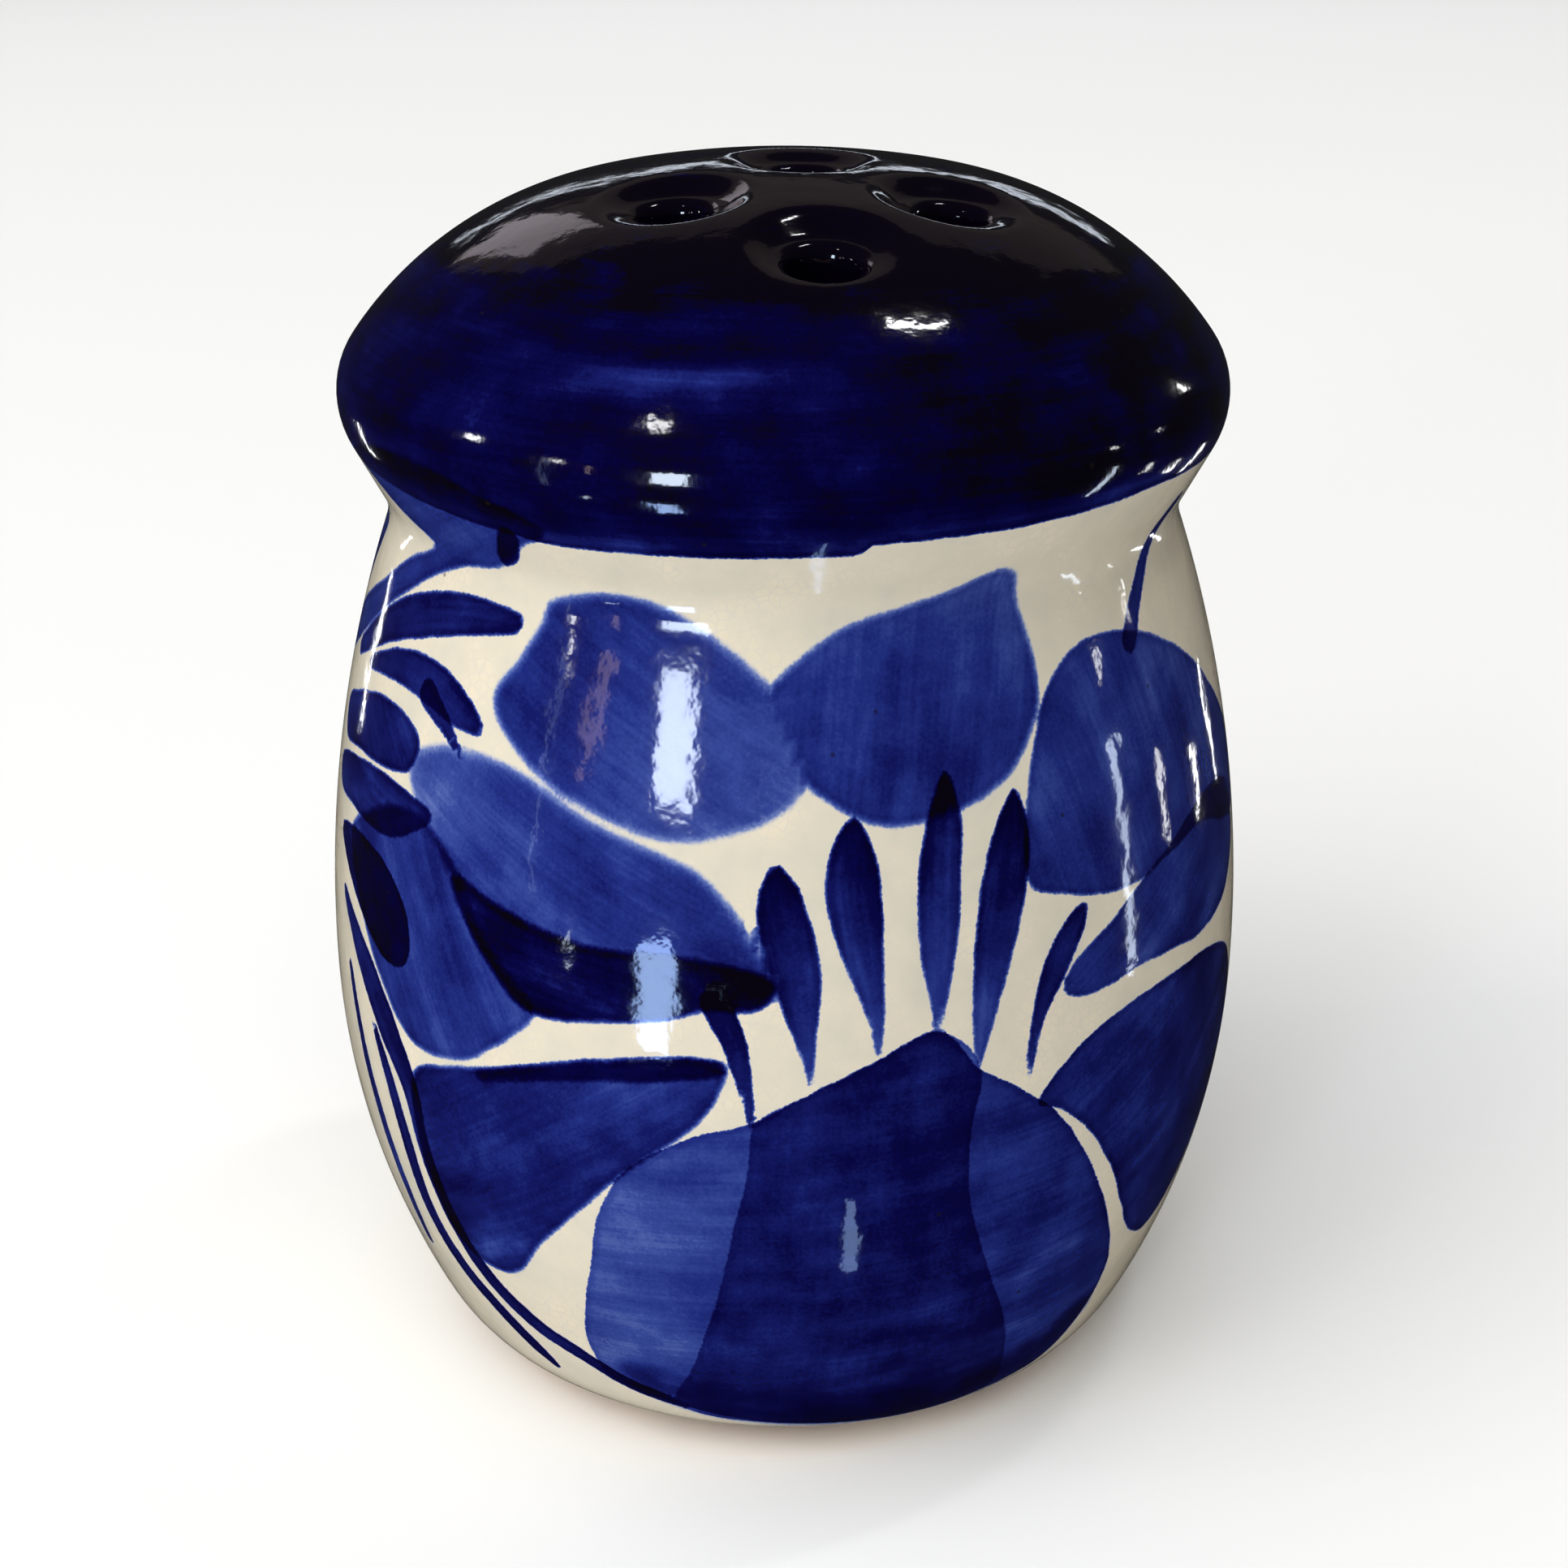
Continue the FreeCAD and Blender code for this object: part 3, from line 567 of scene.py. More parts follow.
class Canvas:
    """The glaze's points unrolled, in millimetres, and the cobalt put on each layer, with one band
    of painted shade.
    """

    def __init__(self, points, size):
        self.turn = np.degrees(np.arctan2(points[:, 0], -points[:, 1]))
        self.reach = np.hypot(points[:, 0], points[:, 1]) / MM
        self.z = points[:, 2] / MM
        outline = trace(vessel_arcs(size), size.glaze, 0.5 * MM) / MM
        run = np.concatenate([[0], np.cumsum(np.hypot(*np.diff(outline, axis=0).T))])
        self.heights, self.runs, self.radii = outline[:, 1], run, outline[:, 0]
        self.run = np.interp(self.z, self.heights, self.runs)
        self.depth = {layer: np.full(len(points), OUTSIDE) for layer in LAYERS}
        self.brush = {layer: np.zeros((len(points), 4)) for layer in LAYERS}

    def flat(self, middle, turn, z):
        """Millimetres across and up, for points at these degrees and heights."""
        radius = np.interp(z, self.heights, self.radii)
        away = (turn - middle + 180) % 360 - 180
        return np.radians(away) * radius, np.interp(z, self.heights, self.runs)

    def near(self, middle, corners_u, corners_v):
        """The glaze's points within reach of a mark, and their place on its flat chart."""
        away = (self.turn - middle + 180) % 360 - 180
        u = np.radians(away) * self.reach
        close = (u > corners_u.min() - 4) & (u < corners_u.max() + 4) & (np.abs(away) < 120)
        close &= (self.run > corners_v.min() - 4) & (self.run < corners_v.max() + 4)
        chosen = np.nonzero(close)[0]
        return chosen, u[chosen], self.run[chosen]

    def put(self, layer, chosen, depth, along, across, load, soft):
        """Lay a mark on a layer, where it reaches further in than the marks before it."""
        better = depth > self.depth[layer][chosen]
        spots = chosen[better]
        self.depth[layer][spots] = depth[better]
        marks = np.stack([along, across, load, np.full(len(load), soft)], 1)
        self.brush[layer][spots] = marks[better]

    def dome(self):
        """The loaded banding over the dome, with a thinner streak across its front."""
        turns, heights = np.array(DOME_EDGE, float).T
        edge = np.interp(np.interp(self.turn, turns, heights), self.heights, self.runs)
        along = np.radians(self.turn) * 36.0
        tilt = self.z - 97.6 - 0.03 * self.turn
        streak = np.exp(-((self.turn + 12) / 17) ** 2 - (tilt / 1.0) ** 2)
        flanks = 0.35 + 0.65 * np.clip(np.abs(self.turn + 4) / 32, 0, 1)
        hem = flanks * np.exp(-((self.run - edge - 0.6) / 1.5) ** 2)
        crown = np.clip((self.z - 100.5) / 2.5, 0, 1)
        right = np.exp(-((self.turn - 42) / 34) ** 2)
        load = 2.4 - 1.6 * streak - 1.5 * hem + 1.6 * crown + 0.8 * right
        self.put("dome", np.arange(len(load)), self.run - edge, along, self.run, load, 0.2)

    def petal(self, layer, load_from, load_to, angle, soft, outline, shift=0, mirror=False):
        """A filled mark inside a smooth closed outline."""
        outline = np.array(outline, float)
        if mirror:
            outline[:, 0] *= -1
            angle = 180 - angle
        outline[:, 0] += shift
        middle = outline[:, 0].mean()
        u, v = self.flat(middle, outline[:, 0], outline[:, 1])
        loop = run_along(np.stack([u, v], 1), True)
        chosen, x, y = self.near(middle, loop[:, 0], loop[:, 1])
        away = np.full(len(x), 1e9)
        inside = np.zeros(len(x), bool)
        for (x0, y0), (x1, y1) in zip(loop, np.roll(loop, -1, axis=0)):
            dx, dy = x1 - x0, y1 - y0
            t = np.clip(((x - x0) * dx + (y - y0) * dy) / (dx * dx + dy * dy + 1e-12), 0, 1)
            away = np.minimum(away, np.hypot(x - x0 - t * dx, y - y0 - t * dy))
            crosses = (y0 > y) != (y1 > y)
            inside ^= crosses & (x < x0 + (y - y0) * dx / (dy if dy else 1e-12))
        lean = math.radians(angle)
        along = x * math.cos(lean) + y * math.sin(lean)
        across = y * math.cos(lean) - x * math.sin(lean)
        ends = loop[:, 0] * math.cos(lean) + loop[:, 1] * math.sin(lean)
        share = np.clip((along - ends.min()) / np.ptp(ends), 0, 1)
        load = load_from + (load_to - load_from) * share
        depth = np.where(inside, away, -away)
        self.put(layer, chosen, depth, along, across + 7 * outline[0, 0], load, soft)

    def stroke(self, layer, load_from, load_to, soft, path, shift=0, mirror=False):
        """A mark of changing width along a path."""
        path = np.array(path, float)
        if mirror:
            path[:, 0] *= -1
        path[:, 0] += shift
        middle = path[:, 0].mean()
        u, v = self.flat(middle, path[:, 0], path[:, 1])
        line = run_along(np.stack([u, v, path[:, 2]], 1), False)
        chosen, x, y = self.near(middle, line[:, 0], line[:, 1])
        best = np.full(len(x), -1e9)
        along = np.zeros(len(x))
        across = np.zeros(len(x))
        gone = 0.0
        for (x0, y0, w0), (x1, y1, w1) in zip(line, line[1:]):
            dx, dy = x1 - x0, y1 - y0
            reach = math.hypot(dx, dy) + 1e-9
            t = np.clip(((x - x0) * dx + (y - y0) * dy) / reach ** 2, 0, 1)
            side = ((y - y0) * dx - (x - x0) * dy) / reach
            depth = w0 + (w1 - w0) * t - np.hypot(x - x0 - t * dx, y - y0 - t * dy)
            better = depth > best
            best[better] = depth[better]
            along[better] = gone + t[better] * reach
            across[better] = side[better]
            gone += reach
        load = load_from + (load_to - load_from) * np.clip(along / gone, 0, 1) ** 1.7
        self.put(layer, chosen, best, along + 11 * path[0, 0], across, load, soft)

    def store(self, mesh):
        """Keep every layer on the mesh, in millimetres, for the glaze to read."""
        for layer in LAYERS:
            depth = mesh.attributes.new(layer + "_depth", "FLOAT", "POINT")
            depth.data.foreach_set("value", self.depth[layer].astype(np.float32))
            brush = mesh.attributes.new(layer + "_brush", "FLOAT_COLOR", "POINT")
            brush.data.foreach_set("color", self.brush[layer].astype(np.float32).ravel())


# --- materials ------------------------------------------------------------------------------


def add(tree, kind, inputs=None, output=0, **values):
    """Add a shader node with its settings and links, and return one of its outputs."""
    node = tree.nodes.new("ShaderNode" + kind)
    for name, value in values.items():
        setattr(node, name, value)
    for name, value in (inputs or {}).items():
        if isinstance(value, bpy.types.NodeSocket):
            tree.links.new(value, node.inputs[name])
        else:
            node.inputs[name].default_value = value
    return node.outputs[output]


def material(name):
    """An empty material with a Principled surface, its tree and that surface."""
    made = bpy.data.materials.new(name)
    made.use_nodes = True
    return made, made.node_tree, made.node_tree.nodes["Principled BSDF"]


def ramp(tree, amount, stops):
    """Colours at places from 0 to 1, blended between."""
    output = add(tree, "ValToRGB", {0: amount})
    row = output.node.color_ramp
    while len(row.elements) < len(stops):
        row.elements.new(0.5)
    for element, (place, digits) in zip(row.elements, stops):
        element.position = place
        element.color = linear(digits)
    return output


# Coats of cobalt at the ramp's end, spacing of the brush's hairs (drawn coarser than real ones,
# so that they show), grain of the mottle, and how far cobalt pools inside an edge.
FULL_LOAD = 3.4
STREAK_MM = 0.45
GRAIN_MM = 0.30
POOL_MM = 0.9


def glaze_material(colours):
    """Tin-glazed earthenware, brushed with cobalt on the raw glaze and fired glossy.

    The eye gets soft-edged strokes that darken where they cross, pool at their edges and show
    the hairs of the brush, a mottled cream ground with fine specks, and sharp reflections that
    waver with the glaze.
    """
    made, tree, surface = material("painted_tin_glaze")

    def sums(operation, *values):
        return add(tree, "Math", dict(enumerate(values)), operation=operation)

    place = add(tree, "TexCoord", output=3)
    wander = add(tree, "TexNoise", {"Vector": place, "Scale": 1 / (2.6 * MM), "Detail": 2.0})
    grain = add(tree, "TexNoise", {"Vector": place, "Scale": 1 / (GRAIN_MM * MM), "Detail": 2.0})
    cloud = add(tree, "TexNoise", {"Vector": place, "Scale": 1 / (6.0 * MM), "Detail": 4.0,
                                   "Roughness": 0.6})
    shake = sums("MULTIPLY_ADD", wander, 0.36, -0.30)
    shake = sums("MULTIPLY_ADD", grain, 0.24, shake)
    total = None
    for number, layer in enumerate(LAYERS):
        depth = add(tree, "Attribute", output=2, attribute_name=layer + "_depth")
        brush = add(tree, "Attribute", output=0, attribute_name=layer + "_brush")
        soft = brush.node.outputs[3]
        split = add(tree, "SeparateColor", {0: brush})
        along, across, load = split.node.outputs[:3]
        depth = sums("ADD", depth, shake)
        outer = sums("MULTIPLY", soft, -1.0)
        cover = add(tree, "MapRange", {0: depth, 1: outer, 2: soft},
                    interpolation_type="SMOOTHSTEP")
        fine = add(tree, "CombineXYZ", {
            0: sums("MULTIPLY", along, 1 / 9.0), 1: sums("MULTIPLY", across, 1 / STREAK_MM),
            2: 3.7 * number})
        broad = add(tree, "CombineXYZ", {
            0: sums("MULTIPLY", along, 1 / 14.0), 1: sums("MULTIPLY", across, 1 / 3.5),
            2: 5.1 * number})
        hairs = add(tree, "TexNoise", {"Vector": fine, "Scale": 1.0, "Detail": 2.5})
        sweep = add(tree, "TexNoise", {"Vector": broad, "Scale": 1.0, "Detail": 1.5})
        pool = add(tree, "MapRange", {0: depth, 1: 0.0, 2: POOL_MM, 3: 0.22, 4: 0.0},
                   interpolation_type="SMOOTHSTEP")
        thick = sums("MULTIPLY_ADD", hairs, 0.40, -0.30)
        thick = sums("MULTIPLY_ADD", sweep, 1.0, thick)
        thick = sums("MULTIPLY_ADD", cloud, 1.2, thick)
        thick = sums("ADD", thick, pool)
        thick = sums("MAXIMUM", thick, 0.25)
        coat = sums("MULTIPLY", sums("MULTIPLY", thick, load), cover)
        total = coat if total is None else sums("ADD", total, coat)
    speckle = sums("MULTIPLY_ADD", grain, 0.40, 0.80)
    total = sums("MULTIPLY", sums("MULTIPLY", total, speckle), 1 / FULL_LOAD)
    cobalt = ramp(tree, total, [
        (0.00, colours.ground), (0.045, colours.haze), (0.11, colours.thin),
        (0.19, colours.wash), (0.28, colours.mid), (0.39, colours.deep), (0.54, colours.dark),
        (0.74, colours.black), (1.0, colours.crust)])
    ground = ramp(tree, cloud, [(0.30, colours.ground_cool), (0.70, colours.ground)])
    bare = add(tree, "MapRange", {0: total, 1: 0.0, 2: 0.08, 3: 1.0, 4: 0.0})
    colour = add(tree, "Mix", {0: bare, 6: cobalt, 7: ground}, output=2, data_type="RGBA")
    mesh = add(tree, "TexVoronoi", {"Vector": place, "Scale": 1 / (0.9 * MM)},
               feature="DISTANCE_TO_EDGE")
    crack = add(tree, "MapRange", {0: mesh, 1: 0.0, 2: 0.09, 3: 0.16, 4: 0.0})
    patch = add(tree, "MapRange", {0: cloud, 1: 0.46, 2: 0.62, 3: 0.0, 4: 1.0})
    thin_only = add(tree, "MapRange", {0: total, 1: 0.14, 2: 0.24, 3: 1.0, 4: 0.0})
    crazed = sums("MULTIPLY", sums("MULTIPLY", crack, patch), thin_only)
    colour = add(tree, "Mix", {0: crazed, 6: colour, 7: linear(colours.haze)}, output=2,
                 data_type="RGBA")
    specks = add(tree, "TexVoronoi", {"Vector": place, "Scale": 1 / (6.5 * MM)})
    speck = add(tree, "MapRange", {0: specks, 1: 0.020, 2: 0.040, 3: 0.7, 4: 0.0})
    colour = add(tree, "Mix", {0: speck, 6: colour, 7: linear(colours.speck)}, output=2,
                 data_type="RGBA")
    tree.links.new(colour, surface.inputs["Base Color"])

    undulation = add(tree, "TexNoise", {"Vector": place, "Scale": 1 / (9.0 * MM), "Detail": 1.0})
    peel = add(tree, "TexNoise", {"Vector": place, "Scale": 1 / (1.3 * MM), "Detail": 2.0})
    ripple = add(tree, "TexNoise", {"Vector": place, "Scale": 1 / (3.5 * MM), "Detail": 1.0})
    height = sums("MULTIPLY", peel, 0.018)
    height = sums("MULTIPLY_ADD", ripple, 0.060, height)
    height = sums("MULTIPLY_ADD", total, 0.006, height)
    height = sums("MULTIPLY_ADD", undulation, 0.16, height)
    bump = add(tree, "Bump", {"Height": height, "Distance": MM, "Strength": 1.0})
    tree.links.new(bump, surface.inputs["Normal"])
    rough = add(tree, "MapRange", {0: cloud, 1: 0.3, 2: 0.7, 3: 0.05, 4: 0.09})
    tree.links.new(rough, surface.inputs["Roughness"])
    surface.inputs["IOR"].default_value = 1.5
    return made


def clay_material():
    """Bisque earthenware, cast, sponged and fired bare: dry, slightly sandy and warm buff."""
    made, tree, surface = material("bare_fired_earthenware")
    place = add(tree, "TexCoord", output=3)
    sand = add(tree, "TexNoise", {"Vector": place, "Scale": 1 / (0.5 * MM), "Detail": 4.0})
    stain = add(tree, "TexNoise", {"Vector": place, "Scale": 1 / (11.0 * MM), "Detail": 4.0})
    both = add(tree, "Math", {0: sand, 1: 0.35, 2: add(
        tree, "Math", {0: stain, 1: 0.65}, operation="MULTIPLY")}, operation="MULTIPLY_ADD")
    colour = ramp(tree, both, [(0.30, "A98462"), (0.50, "C9AA84"), (0.70, "DBC5A3")])
    tree.links.new(colour, surface.inputs["Base Color"])
    rough = add(tree, "MapRange", {0: sand, 1: 0.2, 2: 0.8, 3: 0.82, 4: 0.95})
    tree.links.new(rough, surface.inputs["Roughness"])
    bump = add(tree, "Bump", {"Height": both, "Distance": 0.12 * MM, "Strength": 1.0})
    tree.links.new(bump, surface.inputs["Normal"])
    surface.inputs["IOR"].default_value = 1.5
    return made


def plug_material(digits):
    """Soft PVC, injection moulded: satin, a little translucent at its edges, faintly grained."""
    made, tree, surface = material("moulded_soft_pvc")
    place = add(tree, "TexCoord", output=3)
    grain = add(tree, "TexNoise", {"Vector": place, "Scale": 1 / (0.35 * MM), "Detail": 3.0})
    grime = add(tree, "TexNoise", {"Vector": place, "Scale": 1 / (6.0 * MM), "Detail": 3.0})
    colour = ramp(tree, grime, [(0.35, "C9C4B3"), (0.60, digits)])
    tree.links.new(colour, surface.inputs["Base Color"])
    rough = add(tree, "MapRange", {0: grain, 1: 0.2, 2: 0.8, 3: 0.38, 4: 0.52})
    tree.links.new(rough, surface.inputs["Roughness"])
    bump = add(tree, "Bump", {"Height": grain, "Distance": 0.02 * MM, "Strength": 1.0})
    tree.links.new(bump, surface.inputs["Normal"])
    surface.inputs["IOR"].default_value = 1.53
    surface.inputs["Subsurface Weight"].default_value = 0.15
    surface.inputs["Subsurface Scale"].default_value = 0.002
    return made


# --- operators ------------------------------------------------------------------------------

# The dome is turned up to this radius, and inside it is one surface with the holes in it.
CAP_REACH = 0.0304
HOLE_COLUMNS = 56


def round_hole(x, y, radius, level):
    """Points round a hole: level is a height, heights, or a function of x and y."""
    angle = 2 * math.pi * np.arange(HOLE_COLUMNS) / HOLE_COLUMNS
    at_x, at_y = x + radius * np.cos(angle), y + radius * np.sin(angle)
    z = level(at_x, at_y) if callable(level) else level
    return np.stack([at_x, at_y, z], 1)


def cap_edge(surface):
    """Where a half-section meets the cap, as a list of one point."""
    return [[CAP_REACH, float(surface(np.array([CAP_REACH]), np.array([0.0]))[0])]]


def below_cap(points, size):
    """Which points of a half-section lie outside the cap."""
    return (points[:, 0] > CAP_REACH) | (points[:, 1] < size.belly_height)


def settle(skin, ring, surface):
    """Move a ring up or down onto a surface."""
    for index in ring:
        x, y, z = skin.points[index]
        skin.points[index][2] = float(surface(np.array([x]), np.array([y]))[0])


def lip_rings(size, x, y, start, bore, surface, bottom):
    """Rings from a dimple's rim down to a hole, over its lip and down its bore."""
    dimple_steps, lip_steps, bore_steps = 6, 8, 6
    rings = [round_hole(x, y, radius, surface)
             for radius in np.linspace(size.dimple_width, start, dimple_steps + 1)[1:]]
    rim = round_hole(x, y, start, surface)[:, 2]
    for k in range(1, lip_steps + 1):
        turn = math.pi / 2 * k / lip_steps
        radius = start - (start - bore) * math.sin(turn)
        rings.append(round_hole(x, y, radius, rim - size.lip * (1 - math.cos(turn))))
    end = round_hole(x, y, bore, bottom)[:, 2]
    for k in range(1, bore_steps + 1):
        z = (rim - size.lip) + (end - (rim - size.lip)) * k / bore_steps
        rings.append(round_hole(x, y, bore, z))
    return rings


class SHAKER_OT_glaze(bpy.types.Operator):
    """Glaze coat: the painted outside, its bead above the foot and the linings of the holes"""
    bl_idname = "shaker.glaze"
    bl_label = "Painted glaze"

    def execute(self, context):
        size = settings().vessel
        arcs = vessel_arcs(size)
        outside = trace(arcs, size.glaze, size.mesh_step)
        line = GLAZE_LOW.z
        outside = outside[(outside[:, 1] > line + size.glaze) & below_cap(outside, size)]
        over = dome_height(size, size.glaze)
        bare = trace(arcs, 0.0, size.mesh_step * 4)
        foot_r = np.interp(line, bare[:, 1], bare[:, 0])
        bead = [[foot_r, line]]
        bead_steps = 6
        for k in range(1, bead_steps):
            turn = math.pi / 2 * k / bead_steps
            z = line + size.glaze * (1 - math.cos(turn))
            bead.append([np.interp(z, bare[:, 1], bare[:, 0]) + size.glaze * math.sin(turn), z])
        profile = np.concatenate([bead, outside, cap_edge(over)])
        columns = round(2 * math.pi * size.belly / size.mesh_step)
        skin = Skin()
        first, last = skin.lathe(profile, columns, (0.0, 0.0), (1.0, 0.62))
        settle(skin, last, over)
        holes = pour_holes()
        bore = size.pour_hole - size.pour_lining
        rims = skin.cap(last, holes, size.dimple_width, HOLE_COLUMNS, over, size.mesh_step,
                        (0.13, 0.80), 3.8)
        under = dome_height(size, -size.wall)
        inner = trace(arcs, 0.0, size.mesh_step * 5)
        inner = inner[(inner[:, 1] > line + size.glaze / 2) & below_cap(inner, size)]
        bare_dome = dome_height(size, 0.0)
        inner = np.concatenate([[[foot_r, line]], inner, cap_edge(bare_dome)])
        last_in = skin.lathe(inner, columns, (0.30, 0.84), (0.98, 0.99), True, first)[1]
        backs = skin.cap(last_in, holes, size.pour_hole, HOLE_COLUMNS, bare_dome,
                         size.mesh_step * 2, (0.40, 0.73), 1.6, True)
        for number, ((x, y), rim, back) in enumerate(zip(holes, rims, backs)):
            rings = lip_rings(size, x, y, bore + size.lip, bore, over, under)
            rings.append(round_hole(x, y, size.pour_hole, under))
            low = 0.52 + 0.11 * number
            skin.tube(rim, back, rings, (low, 0.66), (low + 0.10, 0.80))
        hand_finish(skin, size)
        glaze = skin.piece("painted_glaze", "vessel", "painted_glaze",
                           glaze_material(settings().glaze_paint))
        canvas = Canvas(np.array(skin.points), size)
        canvas.dome()
        for petal in PETALS:
            canvas.petal(*petal)
        for stroke in STROKES:
            canvas.stroke(*stroke)
        for petal in PETALS[:BACK_PETALS]:
            canvas.petal(*petal, shift=BACK_TURN, mirror=True)
        for stroke in STROKES[:BACK_STROKES]:
            canvas.stroke(*stroke, shift=BACK_TURN, mirror=True)
        canvas.store(glaze.data)
        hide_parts("glaze_coat")
        return {"FINISHED"}


class SHAKER_OT_clay(bpy.types.Operator):
    """Clay vessel: foot ring, recess, filling hole, cavity and the dome under the glaze"""
    bl_idname = "shaker.clay"
    bl_label = "Clay body"

    def execute(self, context):
        size = settings().vessel
        arcs = vessel_arcs(size)
        under_glaze = -0.03 * MM
        step = 2.2 * MM
        outside = trace(arcs, under_glaze, step)
        outside = outside[below_cap(outside, size)]
        outside[0, 1] = 0.0
        over = dome_height(size, under_glaze)
        under = dome_height(size, -size.wall)
        columns = 144
        inner = trace(arcs, -size.wall, step)
        corner = 6.0 * MM
        inner = inner[(inner[:, 1] > size.floor + corner) & below_cap(inner, size)]
        wall_foot = inner[0]
        floor = rounded([(size.fill_hole, size.floor), (wall_foot[0] - 0.0006, size.floor),
                         tuple(wall_foot)], corner, 8)
        inside = np.concatenate([floor, inner[1:], cap_edge(under)])
        base = rounded([
            (size.fill_hole, size.floor), (size.fill_hole, size.recess_depth),
            (size.recess, size.recess_depth), (size.recess, 0.0), tuple(outside[0])], 0.0008)
        skin = Skin()
        outer = np.concatenate([base, outside[1:], cap_edge(over)])
        first, last = skin.lathe(outer, columns, (0.0, 0.0), (1.0, 0.55))
        last_in = skin.lathe(inside, columns, (0.0, 0.56), (0.8, 0.90), True, first)[1]
        settle(skin, last, over)
        settle(skin, last_in, under)
        holes = pour_holes()
        tops = skin.cap(last, holes, size.pour_hole, HOLE_COLUMNS, over, 1.5 * MM,
                        (0.88, 0.66), 1.9)
        lows = skin.cap(last_in, holes, size.pour_hole, HOLE_COLUMNS, under, 1.5 * MM,
                        (0.88, 0.80), 1.9, True)
        for number, (top_ring, low_ring) in enumerate(zip(tops, lows)):
            skin.tube(top_ring, low_ring, [], (0.1 * number, 0.92), (0.1 * number + 0.09, 0.98))
        hand_finish(skin, size)
        clay = skin.piece("fired_clay_body", "vessel", "bare_clay", clay_material())
        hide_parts("clay_body")
        return {"FINISHED"}


class SHAKER_OT_plug(bpy.types.Operator):
    """Soft plug: flange, hollow sleeve with two ribs, and a finger bar"""
    bl_idname = "shaker.plug"
    bl_label = "Base plug"

    def execute(self, context):
        size = settings().plug
        bottom = PLUG_LOW.z + size.grip_height
        seat = bottom + size.face
        top = PLUG_HIGH.z
        middle = (settings().vessel.recess_depth + settings().vessel.floor) / 2
        ribs = []
        for height in (middle - size.rib_spacing / 2, middle + size.rib_spacing / 2):
            centre = size.rib_reach - size.rib
            half = math.acos((size.sleeve - centre) / size.rib)
            for k in range(9):
                turn = -half + 2 * half * k / 8
                ribs.append((centre + size.rib * math.cos(turn),
                             height + size.rib * math.sin(turn)))
        small = 0.2 * MM
        face = rounded([(small, bottom), (size.flange, bottom), (size.flange, seat),
                        (size.sleeve, seat)], size.edge)
        crown = rounded([(size.sleeve, ribs[-1][1] + 0.0004), (size.sleeve, top),
                         (size.bore, top), (size.bore, seat), (small, seat)], size.edge)
        profile = np.concatenate([face, ribs, crown])
        skin = Skin()
        first, last = skin.lathe(profile, 96, (0.0, 0.0), (1.0, 0.7))
        skin.lid(first, (0.02, 0.98), True)
        skin.lid(last, (0.02, 0.98), False)
        plug = skin.piece("soft_base_plug", "stopper", "soft_plug", plug_material(size.colour))
        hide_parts("base_stopper")
        grip_bar(size, bottom, plug.data.materials[0])
        return {"FINISHED"}


def grip_bar(size, bottom, finish):
    """The finger bar: a slab with round ends and softened edges, moulded with the face."""
    half = size.grip_length / 2 - size.grip_width / 2
    radius = size.grip_width / 2
    outline = []
    for centre, start in ((half, -90), (-half, 90)):
        for k in range(13):
            turn = math.radians(start + 15 * k)
            outline.append((centre + radius * math.cos(turn), radius * math.sin(turn)))
    skin = Skin()
    low = bottom - size.grip_height
    levels = [(0.45, low), (0.80, low), (0.94, low + 0.0001), (1.0, low + 0.0003),
              (1.0, bottom + 0.0002)]
    rings = []
    for scale, z in levels:
        shrink = radius * (1 - scale)
        ring = []
        for x, y in outline:
            centre = math.copysign(half, x)
            away = math.hypot(x - centre, y)
            ring.append((centre + (x - centre) * (away - shrink) / away,
                         y * (away - shrink) / away, z))
        rings.append(skin.ring(ring))
    for row, (lower, upper) in enumerate(zip(rings, rings[1:])):
        skin.band(lower, upper, (0.0, 0.1 * row), (1.0, 0.1 * row + 0.1))
    skin.lid(rings[0], (0.5, 0.9), True)
    skin.lid(rings[-1], (0.5, 0.9), False)
    return skin.piece("plug_finger_bar", "stopper", "soft_plug", finish)


# Lamps nearer than this only show as glints in the glaze.
GLINT_REACH = 0.5
# The lamps point at this height on the axis.
LIT_HEIGHT = 0.065


def lamp(name, turn, rise, far, width, height, brightness, tint, shines):
    """A rectangular light: degrees to the right of the front, degrees up, and its radiance."""
    data = bpy.data.lights.new(name, "AREA")
    data.shape = "RECTANGLE"
    data.size = width
    data.size_y = height
    data.energy = brightness * math.pi * width * height
    data.color = linear(tint)[:3]
    piece = bpy.data.objects.new(name, data)
    turn, rise = math.radians(turn), math.radians(rise)
    target = Vector((0, 0, LIT_HEIGHT))
    piece.location = target + far * Vector((
        math.sin(turn) * math.cos(rise), -math.cos(turn) * math.cos(rise), math.sin(rise)))
    piece.rotation_euler = (target - piece.location).to_track_quat("-Z", "Y").to_euler()
    piece.visible_glossy = shines
    piece.visible_diffuse = far > GLINT_REACH
    piece.visible_camera = False
    bpy.context.scene.collection.objects.link(piece)


